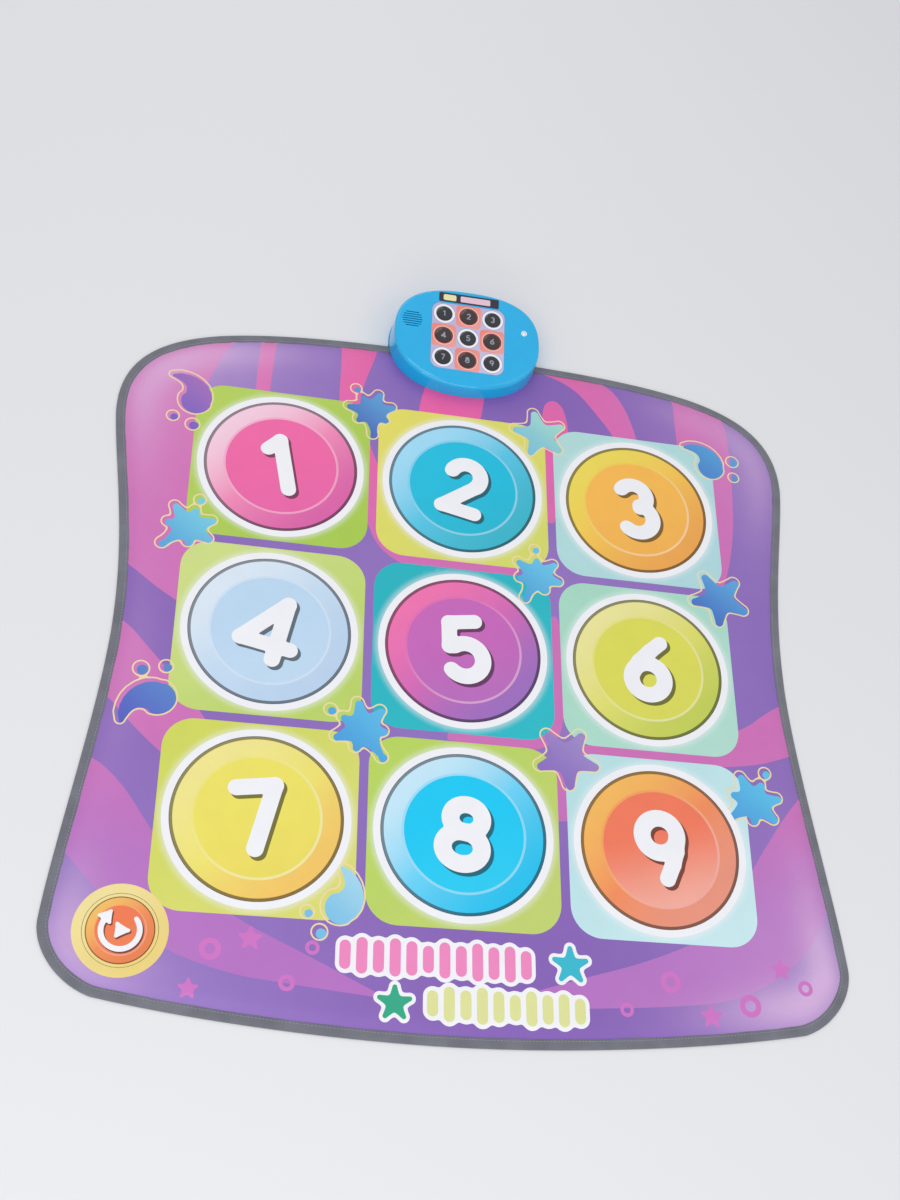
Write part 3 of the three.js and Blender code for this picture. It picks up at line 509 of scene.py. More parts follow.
# %% Height of the cover
PILLOW_START = 12.0
PILLOW_END = 27.0
PUCKER_HEIGHT = 0.55
PUCKER_REACH = 16.0
WAVE_HEIGHT = 0.45


def waves(points):
    """Slow swells of the stuffed mat, from 0 to 1."""
    x, y = points[:, 0] / 1000, points[:, 1] / 1000
    swell = (np.sin(31 * x + 9 * y + 0.6) * np.sin(27 * y - 7 * x + 1.1)
             + 0.6 * np.sin(53 * x - 21 * y) * np.sin(47 * y + 17 * x + 2.0))
    return 0.5 + swell / 3.2


def flat_under_console(points):
    """A share that is 0 under and close to the console, which clamps the mat, and 1 elsewhere."""
    x = np.abs(points[:, 0]) / (CONSOLE_HALF_WIDTH + 14)
    y = (CONSOLE_MID_Y - points[:, 1]) / (CONSOLE_MID_Y - CONSOLE_FRONT_Y + 14)
    reach = (x**2.4 + np.maximum(y, 0) ** 2.4) ** (1 / 2.4)
    return np.clip((reach - 1) / 0.35, 0, 1) ** 1.5


def cover_height(points):
    """Height of the cover's top."""
    depth, round_it = from_edge(points)
    rise = np.clip((depth - PILLOW_START) / (PILLOW_END - PILLOW_START), 0, 1)
    level = SEWN_COVER_Z + (COVER_TOP_Z - SEWN_COVER_Z) * np.sin(rise * math.pi / 2)
    behind = np.maximum(depth - PILLOW_START, 0) / PUCKER_REACH
    ripple = (0.5 + 0.3 * np.sin(round_it / 2.9) + 0.2 * np.sin(round_it / 1.7 + 1)
              * np.sin(round_it / 23))
    pucker = PUCKER_HEIGHT * ripple * behind * np.exp(1 - behind * 1.6)
    lift = flat_under_console(points)
    return level + lift * (pucker + WAVE_HEIGHT * waves(points) * rise)


# %% [markdown]
# The print has a purple ground with pink ribbons that wind out between the tiles, pale glows in
# the corners that are part airbrushed print and part painted highlight of the puffy edge, nine
# tiles, and a white ring round each pad. A ribbon is a row of places with a half width at each.
# Cutting its corners a few times makes it flow, as a spline would, and its two sides are the row
# moved across its own direction.

# %% Ground of the print, with glows that are part painted highlight
GROUND = (ink("8560b4"), ink("9676c2"))
RIBBON_PINKS = {"top": ink("ee60a6"), "side": ink("cf70b8"), "bottom": ink("b672c2")}
# Pale lilac of the corner glows: part airbrushed print, part painted highlight of the puffy edge
GLOW_AND_PAINTED_HIGHLIGHT = ink("dfb9e2")
GLOW_AND_HIGHLIGHT_SPOTS = [((-400, 390), 150, 0.75), ((420, -400), 130, 0.8), ((-420, -60), 150, 0.12),
              ((390, 350), 120, 0.4), ((-440, -400), 90, 0.55)]


def soft_step(value, low, high):
    """A share that goes smoothly from 0 at low to 1 at high."""
    share = np.clip((value - low) / (high - low), 0, 1)
    return share * share * (3 - 2 * share)


def blended(first, second, share):
    """Two inks mixed by a share at each point."""
    share = np.asarray(share)[:, None]
    return first * (1 - share) + second * share


def corner_glow_and_highlight(points):
    """Pale glow along the edge, strongest at two corners: part print, part painted highlight."""
    depth, _ = from_edge(points)
    band = np.exp(-(((depth - 34) / 24) ** 2))
    spread = sum(strength * np.exp(-(np.hypot(*(points - place).T) / reach) ** 2)
                 for place, reach, strength in GLOW_AND_HIGHLIGHT_SPOTS)
    return np.clip(spread * (0.35 + 0.75 * band), 0, 0.85)


def ground_ink(points):
    """The purple ground with its glows, which are part print and part painted highlight."""
    drift = 0.5 + 0.5 * np.sin(points[:, 0] / 170 + 1) * np.cos(points[:, 1] / 140)
    return blended(blended(*GROUND, drift), GLOW_AND_PAINTED_HIGHLIGHT, corner_glow_and_highlight(points))


def ribbon_ink(points):
    """Hot pink at the top, orchid at the sides, violet at the bottom."""
    top = soft_step(points[:, 1], 60, 330) * np.exp(-(((points[:, 0] + 40) / 250) ** 2))
    bottom = soft_step(-points[:, 1], 120, 330)
    colour = blended(RIBBON_PINKS["side"], RIBBON_PINKS["top"], top)
    colour = colour * (1 - bottom[:, None]) + RIBBON_PINKS["bottom"] * bottom[:, None]
    # The corner glows lighten the ribbons too: part print, part painted highlight.
    return blended(colour, GLOW_AND_PAINTED_HIGHLIGHT, 0.8 * corner_glow_and_highlight(points))


# %% Ribbons of the print
RIBBON_ROWS = [
    [(-322, 490, 40), (-380, 420, 56), (-425, 330, 75), (-430, 250, 80), (-415, 170, 70),
     (-360, 88, 52), (-280, 20, 30), (-200, -20, 12)],
    [(-262, 480, 10), (-266, 440, 10), (-269, 390, 10), (-270, 345, 9)],
    [(-140, 480, 27), (-144, 440, 24), (-151, 395, 17), (-156, 350, 13), (-140, 290, 13),
     (-122, 240, 14), (-118, 190, 16), (-90, 125, 16), (0, 118, 14), (70, 122, 8)],
    [(-4, 440, 40), (-10, 395, 41), (-18, 355, 43), (-30, 310, 34)],
    [(60, 474, 8), (120, 462, 14), (176, 440, 21), (207, 405, 24), (230, 357, 16),
     (238, 310, 14)],
    [(128, 400, 4), (128, 390, 15), (130, 350, 19), (128, 310, 18), (122, 250, 12),
     (118, 200, 5)],
    [(335, 490, 34), (338, 435, 34), (342, 385, 38), (344, 330, 38), (348, 275, 32),
     (352, 215, 23), (350, 160, 13), (343, 112, 3)],
    [(470, -40, 32), (420, -68, 33), (365, -100, 24), (260, -120, 12), (150, -122, 13),
     (116, -160, 16), (119, -215, 7)],
    [(470, -130, 10), (444, -185, 34), (414, -255, 50), (372, -325, 52), (310, -378, 40),
     (220, -402, 26), (130, -418, 16), (40, -436, 5)],
    [(-490, 10, 34), (-440, -30, 38), (-400, -72, 37), (-356, -120, 38), (-300, -180, 26),
     (-260, -230, 14)],
    [(-490, -200, 44), (-436, -232, 48), (-390, -290, 44), (-336, -352, 38), (-260, -388, 30),
     (-184, -408, 18), (-96, -432, 2)],
    [(-20, -118, 5), (30, -120, 11), (110, -118, 8), (119, -60, 10), (120, 10, 12),
     (118, 60, 4)],
]


def ribbon(row, rounds=3):
    """The closed outline of a ribbon."""
    row = np.array(row, float)
    for _ in range(rounds):
        cut = np.stack([0.75 * row[:-1] + 0.25 * row[1:], 0.25 * row[:-1] + 0.75 * row[1:]], 1)
        row = np.vstack([row[:1], cut.reshape(-1, 3), row[-1:]])
    plan, half = row[:, :2], row[:, 2:]
    along = np.gradient(plan, axis=0)
    along /= np.hypot(*along.T)[:, None]
    across = np.stack([-along[:, 1], along[:, 0]], 1)
    return evenly(np.vstack([plan + half * across, (plan - half * across)[::-1]]), 5.0)


RIBBONS = [ribbon(row) for row in RIBBON_ROWS]
print("ribbons:", len(RIBBONS))

# %% [markdown]
# At the corners of the tiles lie stars, splashes and drops in blues and aquas. Each is a few brush
# strokes, so a thin cream line can follow it at a distance, shifted a little, as where a second
# printing plate doesn't quite register.

# %% Figures at the corners of the tiles
CREAM = ink("f1dba6")
CREAM_SHIFT = (-2.0, 2.0)
CREAM_BAND = (2.2, 4.0)


def star(x, y, size, turn=0.0, points=5):
    """Strokes of a star with round points."""
    tips = [math.radians(turn + 360 * i / points + 90) for i in range(points)]
    return [(x, y, 0.36 * size, x + 0.84 * size * math.cos(a), y + 0.84 * size * math.sin(a),
             0.13 * size) for a in tips]


def splash(x, y, size, turn=0.0):
    """Strokes of a splash: a middle that runs out in arms, with a drop beyond every other arm."""
    strokes = []
    for i in range(7):
        a = math.radians(turn + 360 * i / 7)
        reach = (0.78, 0.6)[i % 2] * size
        tip = (x + reach * math.cos(a), y + reach * math.sin(a))
        strokes.append((x, y, 0.34 * size, *tip, 0.115 * size))
        if i in (1, 4):
            drop_x, drop_y = x + 1.02 * size * math.cos(a), y + 1.02 * size * math.sin(a)
            strokes.append((drop_x, drop_y, 0.12 * size, drop_x, drop_y, 0.12 * size))
    return strokes


def drop(x, y, size, turn, bubbles):
    """Strokes of a drop with a bent tail, and two bubbles from a given angle."""
    def at(share):
        a = math.radians(turn + 70 * share)
        reach = 1.15 * size * share
        return x + reach * math.cos(a), y + reach * math.sin(a), size * (0.46 - 0.4 * share**0.8)

    strokes = [(*at(i / 8), *at((i + 1) / 8)) for i in range(8)]
    for i in range(2):
        a = math.radians(bubbles - 42 * i)
        reach, radius = 0.92 * size, (0.15 - 0.03 * i) * size
        bx, by = x + reach * math.cos(a), y + reach * math.sin(a)
        strokes.append((bx, by, radius, bx, by, radius))
    return strokes


FIGURES = [
    (drop(-354, 322, 42, 60, -90), "a56cba", "7a5fc0"),
    (splash(-124, 342, 38, 70), "5aa2d8", "4766b8"),
    (splash(-348, 132, 40, 20), "78cfe6", "56a8dc"),
    (star(108, 340, 40, 12), "a4ddd0", "7cc4dc"),
    (splash(98, 116, 38, 40), "6cc8ea", "4fa6dc"),
    (drop(352, 322, 40, 70, 20), "57a9de", "4a84cc"),
    (star(346, 112, 42, 30), "5ba6dc", "4470c4"),
    (drop(-362, -104, 44, 150, 122), "5a86cc", "5560c0"),
    (splash(-122, -120, 42, 100), "5cbcea", "459ddc"),
    (star(128, -134, 42, 40), "a08ac8", "8a6cc0"),
    (drop(-140, -338, 40, 20, 235), "a6d8ee", "78c0e6"),
    (splash(364, -170, 42, 10), "5cc4ea", "4ca2e0"),
]


def figure_ink(strokes, light, deep):
    """A colour that deepens towards the figure's lower left."""
    middle = np.array([stroke[:2] for stroke in strokes]).mean(0)
    return slanted(ink(light), ink(deep), middle, 44, (-0.6, -0.8))


# %% [markdown]
# The tiles are rounded squares in greens and aquas. Each pad's white ring is printed on the cover,
# with the hole for the pad's own zone inside it, and glows a little over its tile. Along the bottom
# run tonal rings and stars, and two rows of bars like the level lights of a music player.

# %% Tiles, rings and the rows along the bottom
TILE_HALF = 114
TILE_CORNER = 37
TILE_INKS = [("b6d258", "a9cc4c"), ("e6de62", "d6db6a"), ("b4dedb", "b2dbe0"),
             ("cfdf86", "bcd566"), ("18b4c0", "25bcc8"), ("a9dcc6", "b2dfd0"),
             ("d2d95c", "dbdc74"), ("b9d65c", "c2d470"), ("b9e2e6", "cbebf0")]
WHITE = ink("f4f4f8")
RING_SHARE = 1.092
RING_GLOW = 9
START_RING = (51, ink("f2e09a"), ink("ecd37e"))
TONAL = ink("cf74c4")
TONAL_RINGS = [(-280, -392, 12), (-196, -424, 9), (240, -398, 12), (334, -420, 13),
               (404, -396, 9), (186, -432, 8), (-170, -384, 8)]
TONAL_STARS = [(-238, -378, 14), (-300, -436, 12), (286, -434, 14), (376, -376, 13)]
BAR_WIDTH, BAR_PITCH = 12.5, 18.6
BAR_ROWS = [(-134, -389, [20, 28, 24, 30, 26, 18, 28, 22, 30, 24, 28, 20], ink("f08ac0")),
            (-36, -437, [16, 26, 20, 28, 22, 16, 26, 20, 24, 16], ink("dfe29a"))]
BAR_STARS = [(122, -386, 23, ink("35b9cf")), (-78, -439, 21, ink("2fa884"))]


def pad_places():
    """Name, centre, radius and number of each pad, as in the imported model."""
    rows = []
    for number in range(1, 10):
        column, row = (number - 1) % 3 - 1, 1 - (number - 1) // 3
        centre = (column * PAD_PITCH, row * PAD_PITCH)
        rows.append((f"pad_{number}", centre, PAD_RADIUS, number))
    return [*rows, ("start_pad", START_PAD, START_PAD_RADIUS, 0)]


def slanted(first, second, centre, reach, direction=(0.7, -0.7), middle=None):
    """An ink that changes across a piece of the print, through a middle ink if one is given."""
    def colour(points):
        share = 0.5 + ((points - centre) @ np.array(direction)) / (2 * reach)
        share = soft_step(share, 0, 1)
        if middle is None:
            return blended(first, second, share)
        early = blended(first, middle, np.minimum(2 * share, 1))
        return blended(early, second, np.maximum(2 * share - 1, 0))
    return colour


def plain(colour):
    """The same ink everywhere."""
    return lambda points: np.broadcast_to(colour, (len(points), 3))


def tile_ink(first, second, centre):
    """A tile's ink, with the soft white glow round its ring."""
    ground = slanted(first, second, centre, 150)

    def colour(points):
        beyond = np.hypot(*(points - centre).T) - RING_SHARE * PAD_RADIUS
        return blended(ground(points), WHITE, 0.45 * (1 - soft_step(beyond, -2, RING_GLOW)))
    return colour


def bar_row(x, y, heights):
    """Strokes of a row of upright bars with round ends."""
    return [(x + i * BAR_PITCH, y - h / 2, BAR_WIDTH / 2, x + i * BAR_PITCH, y + h / 2,
             BAR_WIDTH / 2) for i, h in enumerate(heights)]


# %% The whole print
def cover_zones():
    """The whole print, from the first zone to the last."""
    zones = [(None, ground_ink), *(([loop], ribbon_ink) for loop in RIBBONS)]
    for x, y, radius in TONAL_RINGS:
        zones.append(([circle((x, y), radius, 2), circle((x, y), 0.5 * radius, 2)], plain(TONAL)))
    for x, y, size in TONAL_STARS:
        zones.append((figure_lines(star(x, y, size)), plain(TONAL)))
    for (_, centre, _, _), inks in zip(pad_places(), TILE_INKS):
        tile = rounded_square(centre, TILE_HALF, TILE_CORNER)
        zones.append(([tile], tile_ink(ink(inks[0]), ink(inks[1]), centre)))
    for strokes, light, deep in FIGURES:
        zones.append((figure_lines(strokes, blend=2.0), figure_ink(strokes, light, deep)))
        border = [line + CREAM_SHIFT for gap in CREAM_BAND
                  for line in figure_lines(strokes, gap, 1.8, 2.0)]
        zones.append((border, plain(CREAM)))
    for _, centre, radius, _ in pad_places()[:9]:
        zones.append(([circle(centre, RING_SHARE * radius)], plain(WHITE)))
    radius, light, deep = START_RING
    zones.append(([circle(START_PAD, radius, 3)], slanted(light, deep, START_PAD, 50)))
    return zones + level_light_zones()


def level_light_zones():
    """The rows of bars, with white borders and small stars."""
    zones = []
    for x, y, heights, colour in BAR_ROWS:
        strokes = bar_row(x, y, heights)
        zones.append((figure_lines(strokes, 4.5, 2.5, 2.0), plain(WHITE)))
        zones.append((figure_lines(strokes, 0.0, 2.0, 0.5), plain(colour)))
    for x, y, size, colour in BAR_STARS:
        zones.append((figure_lines(star(x, y, size), 4.0, 2.0), plain(WHITE)))
        zones.append((figure_lines(star(x, y, size), 0.0, 1.5), plain(colour)))
    return zones


# %% The printed cover
SCREW_HOLES = [circle((side * SCREW_FRONT[0], SCREW_FRONT[1]), 4.6, 1.5) for side in (-1, 1)]
EDGE_RINGS = (5, 9, 12, 13.5, 15.5, 18, 21, 24.5, 29, 34)
RAW_EDGE_INSET = 1.1
COVER_NOTCH_Y = 434


def cover_cut():
    """The cover's outline with its console notch, and its holes."""
    holes = [circle(centre, radius + PAD_GAP) for _, centre, radius, _ in pad_places()]
    outline = notched(edge_ring(RAW_EDGE_INSET), NOTCH_HALF_WIDTH, COVER_NOTCH_Y)
    return [outline, *holes, *SCREW_HOLES]


def cover_piece():
    """The cover, with closer points where it rises beside the tape."""
    cut = cover_cut()
    fill = np.vstack([edge_ring(inset, 5.0) for inset in EDGE_RINGS] + [
        circle(centre, RING_SHARE * radius + beyond, 6)
        for _, centre, radius, number in pad_places() if number for beyond in (3, 6, RING_GLOW)])
    return printed_piece("printed_cover", cut, cover_zones(), 8.0, cover_height,
                         lambda points: cover_height(points) - COVER_THICKNESS, COVER_VINYL,
                         fill[inside(fill, cut)])


cover = cover_piece()
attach(cover, "mat")
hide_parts("top_cover")


# %% [markdown]
# Each pad is the round zone of the cover that a foot presses, slightly crowned over its contact.
# It has a dark outline, a rim ring that is shaded like a moulded button, and a flat disc with a
# white digit on a hard shadow.

# %% Digits
DIGIT_HEIGHT = 96
DIGIT_STROKE = 0.102
DIGIT_TILTS = {1: 11, 2: -13, 3: 8, 4: -12, 5: 8, 6: -3, 7: 8, 8: -8, 9: 2}
SHADOW_SHIFT = (3.6, -3.8)


def arc(x, y, radius, start, end, steps=28, tall=1.0):
    """Points along an arc, with angles in degrees, that may be flattened."""
    angles = np.radians(np.linspace(start, end, steps))
    return [(x + radius * math.cos(a), y + tall * radius * math.sin(a)) for a in angles]


DIGIT_LINES = {
    1: [[(-0.14, 0.27), (0.04, 0.39), (0.04, -0.39)]],
    2: [[*arc(0, 0.17, 0.21, 168, -36), (-0.22, -0.38), (0.24, -0.38)]],
    3: [arc(-0.02, 0.19, 0.2, 140, -72), arc(-0.02, -0.17, 0.225, 72, -145)],
    4: [[(0.13, -0.4), (0.13, 0.41), (-0.33, -0.21), (0.31, -0.21)]],
    5: [[(0.2, 0.39), (-0.14, 0.39), (-0.18, 0.05), *arc(0, -0.155, 0.235, 120, -148)]],
    6: [[(0.17, 0.39), (0.02, 0.24), (-0.12, 0.08), (-0.2, -0.08)],
        arc(0, -0.165, 0.228, 0, 360, 48)],
    7: [[(-0.22, 0.38), (0.24, 0.38), (-0.06, -0.39)]],
    8: [arc(0, 0.186, 0.2, 0, 360, 44, 0.9), arc(0, -0.19, 0.243, 0, 360, 48, 0.84)],
    9: [arc(0, 0.165, 0.228, 0, 360, 48),
        [(0.22, 0.13), (0.2, -0.03), (0.14, -0.2), (0.05, -0.39)]],
}


def stroked(lines, centre, height, radius, tilt=0.0):
    """Round strokes along lines that are drawn for a height of 1, turned by a tilt."""
    turn = np.array(Matrix.Rotation(math.radians(tilt), 2)).T * height
    strokes = []
    for line in lines:
        points = np.array(line) @ turn + centre
        strokes += [(*a, radius, *b, radius) for a, b in zip(points, points[1:])]
    return strokes


def digit_strokes(number, centre):
    """The strokes of a pad's digit, each tilted its own way."""
    return stroked(DIGIT_LINES[number], centre, DIGIT_HEIGHT, DIGIT_STROKE * DIGIT_HEIGHT,
                   DIGIT_TILTS[number])


# %% [markdown]
# Each pad's inks are four: the light and the deep side of its rim, and the top and the bottom of
# its disc. The start pad bears the plain sign of a round arrow about a triangle, which any player
# shows for starting and repeating.

# %% Inks of the pads
PAD_INKS = {
    1: ("f8cfe2", "dc60a8", "f264a6", "ea64a8"), 2: ("a4def8", "34b6cc", "00bfe0", "18b9d4"),
    3: ("f1dc58", "f0a64e", "fabb50", "f6b450"), 4: ("deeaf6", "bcd4ee", "bdd9f2", "c2dcf2"),
    5: ("f273b0", "9c6cbe", "c866bb", "b86cbc"), 6: ("eee79c", "c4d056", "dedd58", "dada5a"),
    7: ("f3e790", "f4c664", "efe363", "eddc60"), 8: ("c8eafa", "14c2ee", "00cbf6", "24ccf2"),
    9: ("f7ba5c", "ea957e", "f37a5a", "f5b0a0"), 0: ("f3c064", "e8804c", "f07a50", "ee8658"),
}
SHADOW_DARK = 0.2
PAD_RINGS = [(0.965, "rim"), (0.755, "line"), (0.725, "disc")]
START_PRINT_SHARE = 0.92
SIGN_SHARE = 1.22
SIGN_SHADOW_SHIFT = (1.2, -1.4)


def pad_inks(number, centre, radius):
    """Inks of a pad's outline, rim ring, disc, light line and digit shadow."""
    light, deep, disc, low = (ink(code) for code in PAD_INKS[number])
    soft, bright = 0.6 * light + 0.4 * disc, 0.7 * disc + 0.3 * WHITE
    low_part = np.add(centre, (0.1 * radius, -0.3 * radius))
    return {"outline": slanted(0.3 * light, 0.26 * deep, centre, radius),
            "rim": slanted(light, deep, centre, radius, middle=0.25 * light + 0.75 * disc),
            "disc": slanted(disc, low, low_part, 0.6 * radius, (0.3, -0.95)),
            "line": slanted(soft, bright, centre, 0.6 * radius),
            "shadow": plain(SHADOW_DARK * disc + 0.004)}


def play_sign(centre, height):
    """Strokes of a round arrow about a triangle."""
    turn = arc(0, 0, 0.42, 40, -212, 30)
    strokes = stroked([turn], centre, height, 0.052 * height)
    a, end = math.radians(-212), np.array(turn[-1])
    ahead, aside = np.array([math.sin(a), -math.cos(a)]), np.array([math.cos(a), math.sin(a)])
    heads = (np.array([(-0.08, 0.14), (0.18, 0), (-0.08, -0.14)]),
             np.array([end + 0.22 * ahead, end + 0.15 * aside, end - 0.13 * aside]))
    for head in heads:
        corners = head * height + centre
        middle = corners.mean(0)
        strokes += [(*a, 0.03 * height, *b, 0.03 * height)
                    for a, b in zip(corners, np.roll(corners, -1, axis=0))]
        strokes.append((*middle, 0.07 * height, *middle, 0.07 * height))
    return strokes


def pad_zones(number, centre, radius):
    """A pad's print, from its outline to its digit."""
    inks = pad_inks(number, centre, radius)
    if number:
        zones, share = [(None, inks["outline"])], 1
        strokes, shift = digit_strokes(number, centre), SHADOW_SHIFT
    else:
        share = START_PRINT_SHARE
        zones = [(None, slanted(*START_RING[1:], centre, 50)),
                 ([circle(centre, share * radius, 2)], inks["outline"])]
        strokes, shift = play_sign(centre, SIGN_SHARE * radius), SIGN_SHADOW_SHIFT
    zones += [([circle(centre, share * ring * radius, 3)], inks[name]) for ring, name in PAD_RINGS]
    shadow = [line + shift for line in figure_lines(strokes, 0.4, 1.6, 0.6)]
    digit = figure_lines(strokes, 0.0, 1.2, 0.6)
    return [*zones, (shadow, inks["shadow"]), (digit, plain(WHITE))]


# %% Pad zones and their contacts
def crown(centre, radius):
    """Height of a pad's top: it meets the cover at its rim and rises to its middle."""
    def height(points):
        share = np.clip(np.hypot(*(points - centre).T) / radius, 0, 1)
        rise = PAD_CROWN * (radius / PAD_RADIUS)
        base = COVER_TOP_Z + 0.85 * WAVE_HEIGHT * waves(points) * share**3
        return base + rise * (1 - share**2.4)
    return height


for name, centre, radius, number in pad_places():
    top = crown(centre, radius)
    patch = printed_piece(f"{name}_patch", [circle(centre, radius)],
                          pad_zones(number, centre, radius), 6.0, top,
                          lambda points, top=top: top(points) - COVER_THICKNESS, PAD_VINYL)
    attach(patch, "mat")
    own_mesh(patch)
    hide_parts(f"{name}_face")


# %% [markdown]
# The binding is a woven tape, folded round the raw edges and sewn through. It could be a curve
# with a bevel, but a sweep of its real folded section gives it its fold, its inner face and its
# two free edges, and lets the edge wander a little, as tape does between stitches. The weave
# follows the tape, so the tape carries a map of millimetres along and across it.


# %% Woven tape
def woven_tape():
    """Matte woven tape with ribs across it."""
    material, tree, shader = new_finish("woven_tape")
    where = places(tree, kind="UV")
    ribs = node(tree, "TexWave", {"Vector": where, "Scale": 0.36, "Distortion": 0.6,
                                  "Detail Scale": 1.0}, bands_direction="X").outputs["Fac"]
    yarn = node(tree, "TexWave", {"Vector": where, "Scale": 0.5, "Distortion": 0.8},
                bands_direction="Y").outputs["Fac"]
    fuzz = noise(tree, where, 1.4, 6.0)
    weave = node(tree, "Math", {0: ribs, 1: yarn}, operation="MULTIPLY").outputs[0]
    weave = node(tree, "Math", {0: weave, 1: fuzz}, operation="ADD").outputs[0]
    wear = noise(tree, places(tree), 0.03, 4.0)
    tone = node(tree, "Math", {0: weave, 1: wear}, operation="MULTIPLY").outputs[0]
    feed(tree, shader, {"Base Color": tinted(tree, tone, ink("5b5c65"), ink("8b8d97")),
                        "Roughness": 0.82, "Sheen Weight": 0.25, "Sheen Roughness": 0.5})
    bumps(tree, shader, weave, 0.12)
    return material


TAPE = woven_tape()
TAPE_OUTER = [(11.7, 2.36), (10.6, 2.47), (7.5, 2.46), (4.5, 2.47), (2.0, 2.4), (0.8, 2.05),
              (0.15, 1.5), (0.1, 0.8), (0.7, 0.25), (1.9, 0.04), (4.5, 0.0), (7.5, 0.0),
              (10.6, 0.0), (11.8, 0.06)]
TAPE_INNER = [(11.7, 1.97), (10.6, 1.96), (7.5, 1.96), (4.5, 1.96), (2.2, 1.92), (1.35, 1.7),
              (1.0, 1.4), (1.0, 0.95), (1.3, 0.68), (2.2, 0.52), (4.5, 0.5), (7.5, 0.5),
              (10.6, 0.5), (11.8, 0.44)]
TAPE_NOTCH = (97, COVER_NOTCH_Y)


# %% The folded tape
def tape_stations():
    """Places round the edge from one side of the console to the other, and how far along."""
    half_width, front_y = TAPE_NOTCH
    cut = (np.abs(EDGE[:, 0]) < half_width) & (EDGE[:, 1] > front_y)
    first = np.nonzero(cut)[0][-1] + 1
    kept = np.roll(np.arange(len(EDGE)), -first)[:len(EDGE) - cut.sum()]
    return kept, np.arange(len(kept)) * EDGE_STEP


def ring_walls(rings, count):
    """Faces that join rings of points, which follow one another."""
    faces = []
    for i in range(rings - 1):
        for j in range(count):
            a, b = i * count + j, i * count + (j + 1) % count
            faces.append((a, b, b + count, a + count))
    return faces


def tape_piece():
    """The tape, swept round the mat from one side of the console to the other."""
    kept, along = tape_stations()
    section = np.array(TAPE_OUTER + TAPE_INNER[::-1])
    free = np.array([(i in (0, 1, 26, 27)) for i in range(len(section))])
    wander = 0.22 * np.sin(along / 11) + 0.16 * np.sin(along / 4.3 + 1) * np.sin(along / 61)
    insets = section[None, :, 0] + wander[:, None] * free
    plan = EDGE[kept][:, None, :] + insets[..., None] * EDGE_INWARD[kept][:, None, :]
    lift = 0.05 * (1 + np.sin(along / 1.27))
    heights = np.broadcast_to(section[None, :, 1], insets.shape).copy()
    heights[:, 1:4] += lift[:, None] * 0.6
    points = np.concatenate([plan, heights[..., None]], 2).reshape(-1, 3)
    count, last = len(section), len(kept) - 1
    faces = ring_walls(len(kept), count)
    half = len(TAPE_OUTER)
    for j in range(half - 1):
        quad = (j, count - 1 - j, count - 2 - j, j + 1)
        faces.append(quad)
        faces.append(tuple(last * count + k for k in quad[::-1]))
    piece = mesh_piece("edge_tape", points, faces, TAPE, sharp=60)
    across = np.concatenate([[0], np.cumsum(np.hypot(*np.diff(section, axis=0).T))])
    uv = piece.data.uv_layers.new(name="tape_map")
    index = np.empty(len(piece.data.loops), int)
    piece.data.loops.foreach_get("vertex_index", index)
    spots = np.stack([along[index // count] * MM, across[index % count] * MM], 1)
    uv.data.foreach_set("uv", spots.astype(np.float32).ravel())
    return piece


tape = tape_piece()
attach(tape, "mat")
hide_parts("edge_binding")


# %% [markdown]
# A lockstitch seam repeats one small stitch hundreds of times along a path, which is just what
# Geometry Nodes are for. The tree takes a line, lays points along it, puts a stitch on each one
# turned to the line, and makes them real with their thread's finish. The result is kept as a
# plain mesh.


# %% Thread and an empty tree
def thread_finish():
    """Matte twisted thread."""
    material, tree, shader = new_finish("sewing_thread")
    twist = node(tree, "TexWave", {"Vector": places(tree), "Scale": 0.9},
                 bands_direction="DIAGONAL").outputs["Fac"]
    feed(tree, shader, {"Base Color": tinted(tree, twist, ink("7c7e88"), ink("a9acb6")),
                        "Roughness": 0.75})
    return material


def tree_with(name, numbers):
    """An empty Geometry Nodes tree with a geometry input, number inputs and a geometry output."""
    tree = bpy.data.node_groups.new(name, "GeometryNodeTree")
    tree.interface.new_socket("Geometry", in_out="INPUT", socket_type="NodeSocketGeometry")
    for label in numbers:
        tree.interface.new_socket(label, in_out="INPUT", socket_type="NodeSocketFloat")
    tree.interface.new_socket("Geometry", in_out="OUTPUT", socket_type="NodeSocketGeometry")
    start = tree.nodes.new("NodeGroupInput")
    end = tree.nodes.new("NodeGroupOutput")
    return tree, start, end


def finish_tree(tree, end, geometry, material):
    """Ends a tree in real geometry with a finish."""
    real = grow(tree, "GeometryNodeRealizeInstances", {"Geometry": geometry})
    painted = grow(tree, "GeometryNodeSetMaterial", {"Geometry": real.outputs[0],
                                                     "Material": material})
    tree.links.new(painted.outputs[0], end.inputs[0])


# %% Running a tree
def evaluated_mesh(piece):
    """A copy of a piece's mesh as its modifiers leave it."""
    return bpy.data.meshes.new_from_object(
        piece.evaluated_get(bpy.context.evaluated_depsgraph_get()))


def grown_piece(name, source, tree, values, material):
    """Runs a tree on an object and keeps the result as a plain mesh object of that name."""
    modifier = source.modifiers.new("growth", "NODES")
    modifier.node_group = tree
    for item in tree.interface.items_tree:
        if item.in_out == "INPUT" and item.name in values:
            modifier[item.identifier] = values[item.name]
    mesh = evaluated_mesh(source)
    bpy.data.objects.remove(source)
    mesh.name = name
    if not mesh.materials:
        mesh.materials.append(material)
    print(name, "has", len(mesh.polygons), "faces")
    return new_object(name, mesh)


# %% A tree that sews
def marks_along(tree, start):
    """Points one pitch apart along the line that a tree is given."""
    line = grow(tree, "GeometryNodeMeshToCurve", {"Mesh": start.outputs["Geometry"]})
    return grow(tree, "GeometryNodeResampleCurve",
                {"Curve": line.outputs[0], "Length": start.outputs["Pitch"]},
                mode="LENGTH").outputs[0]


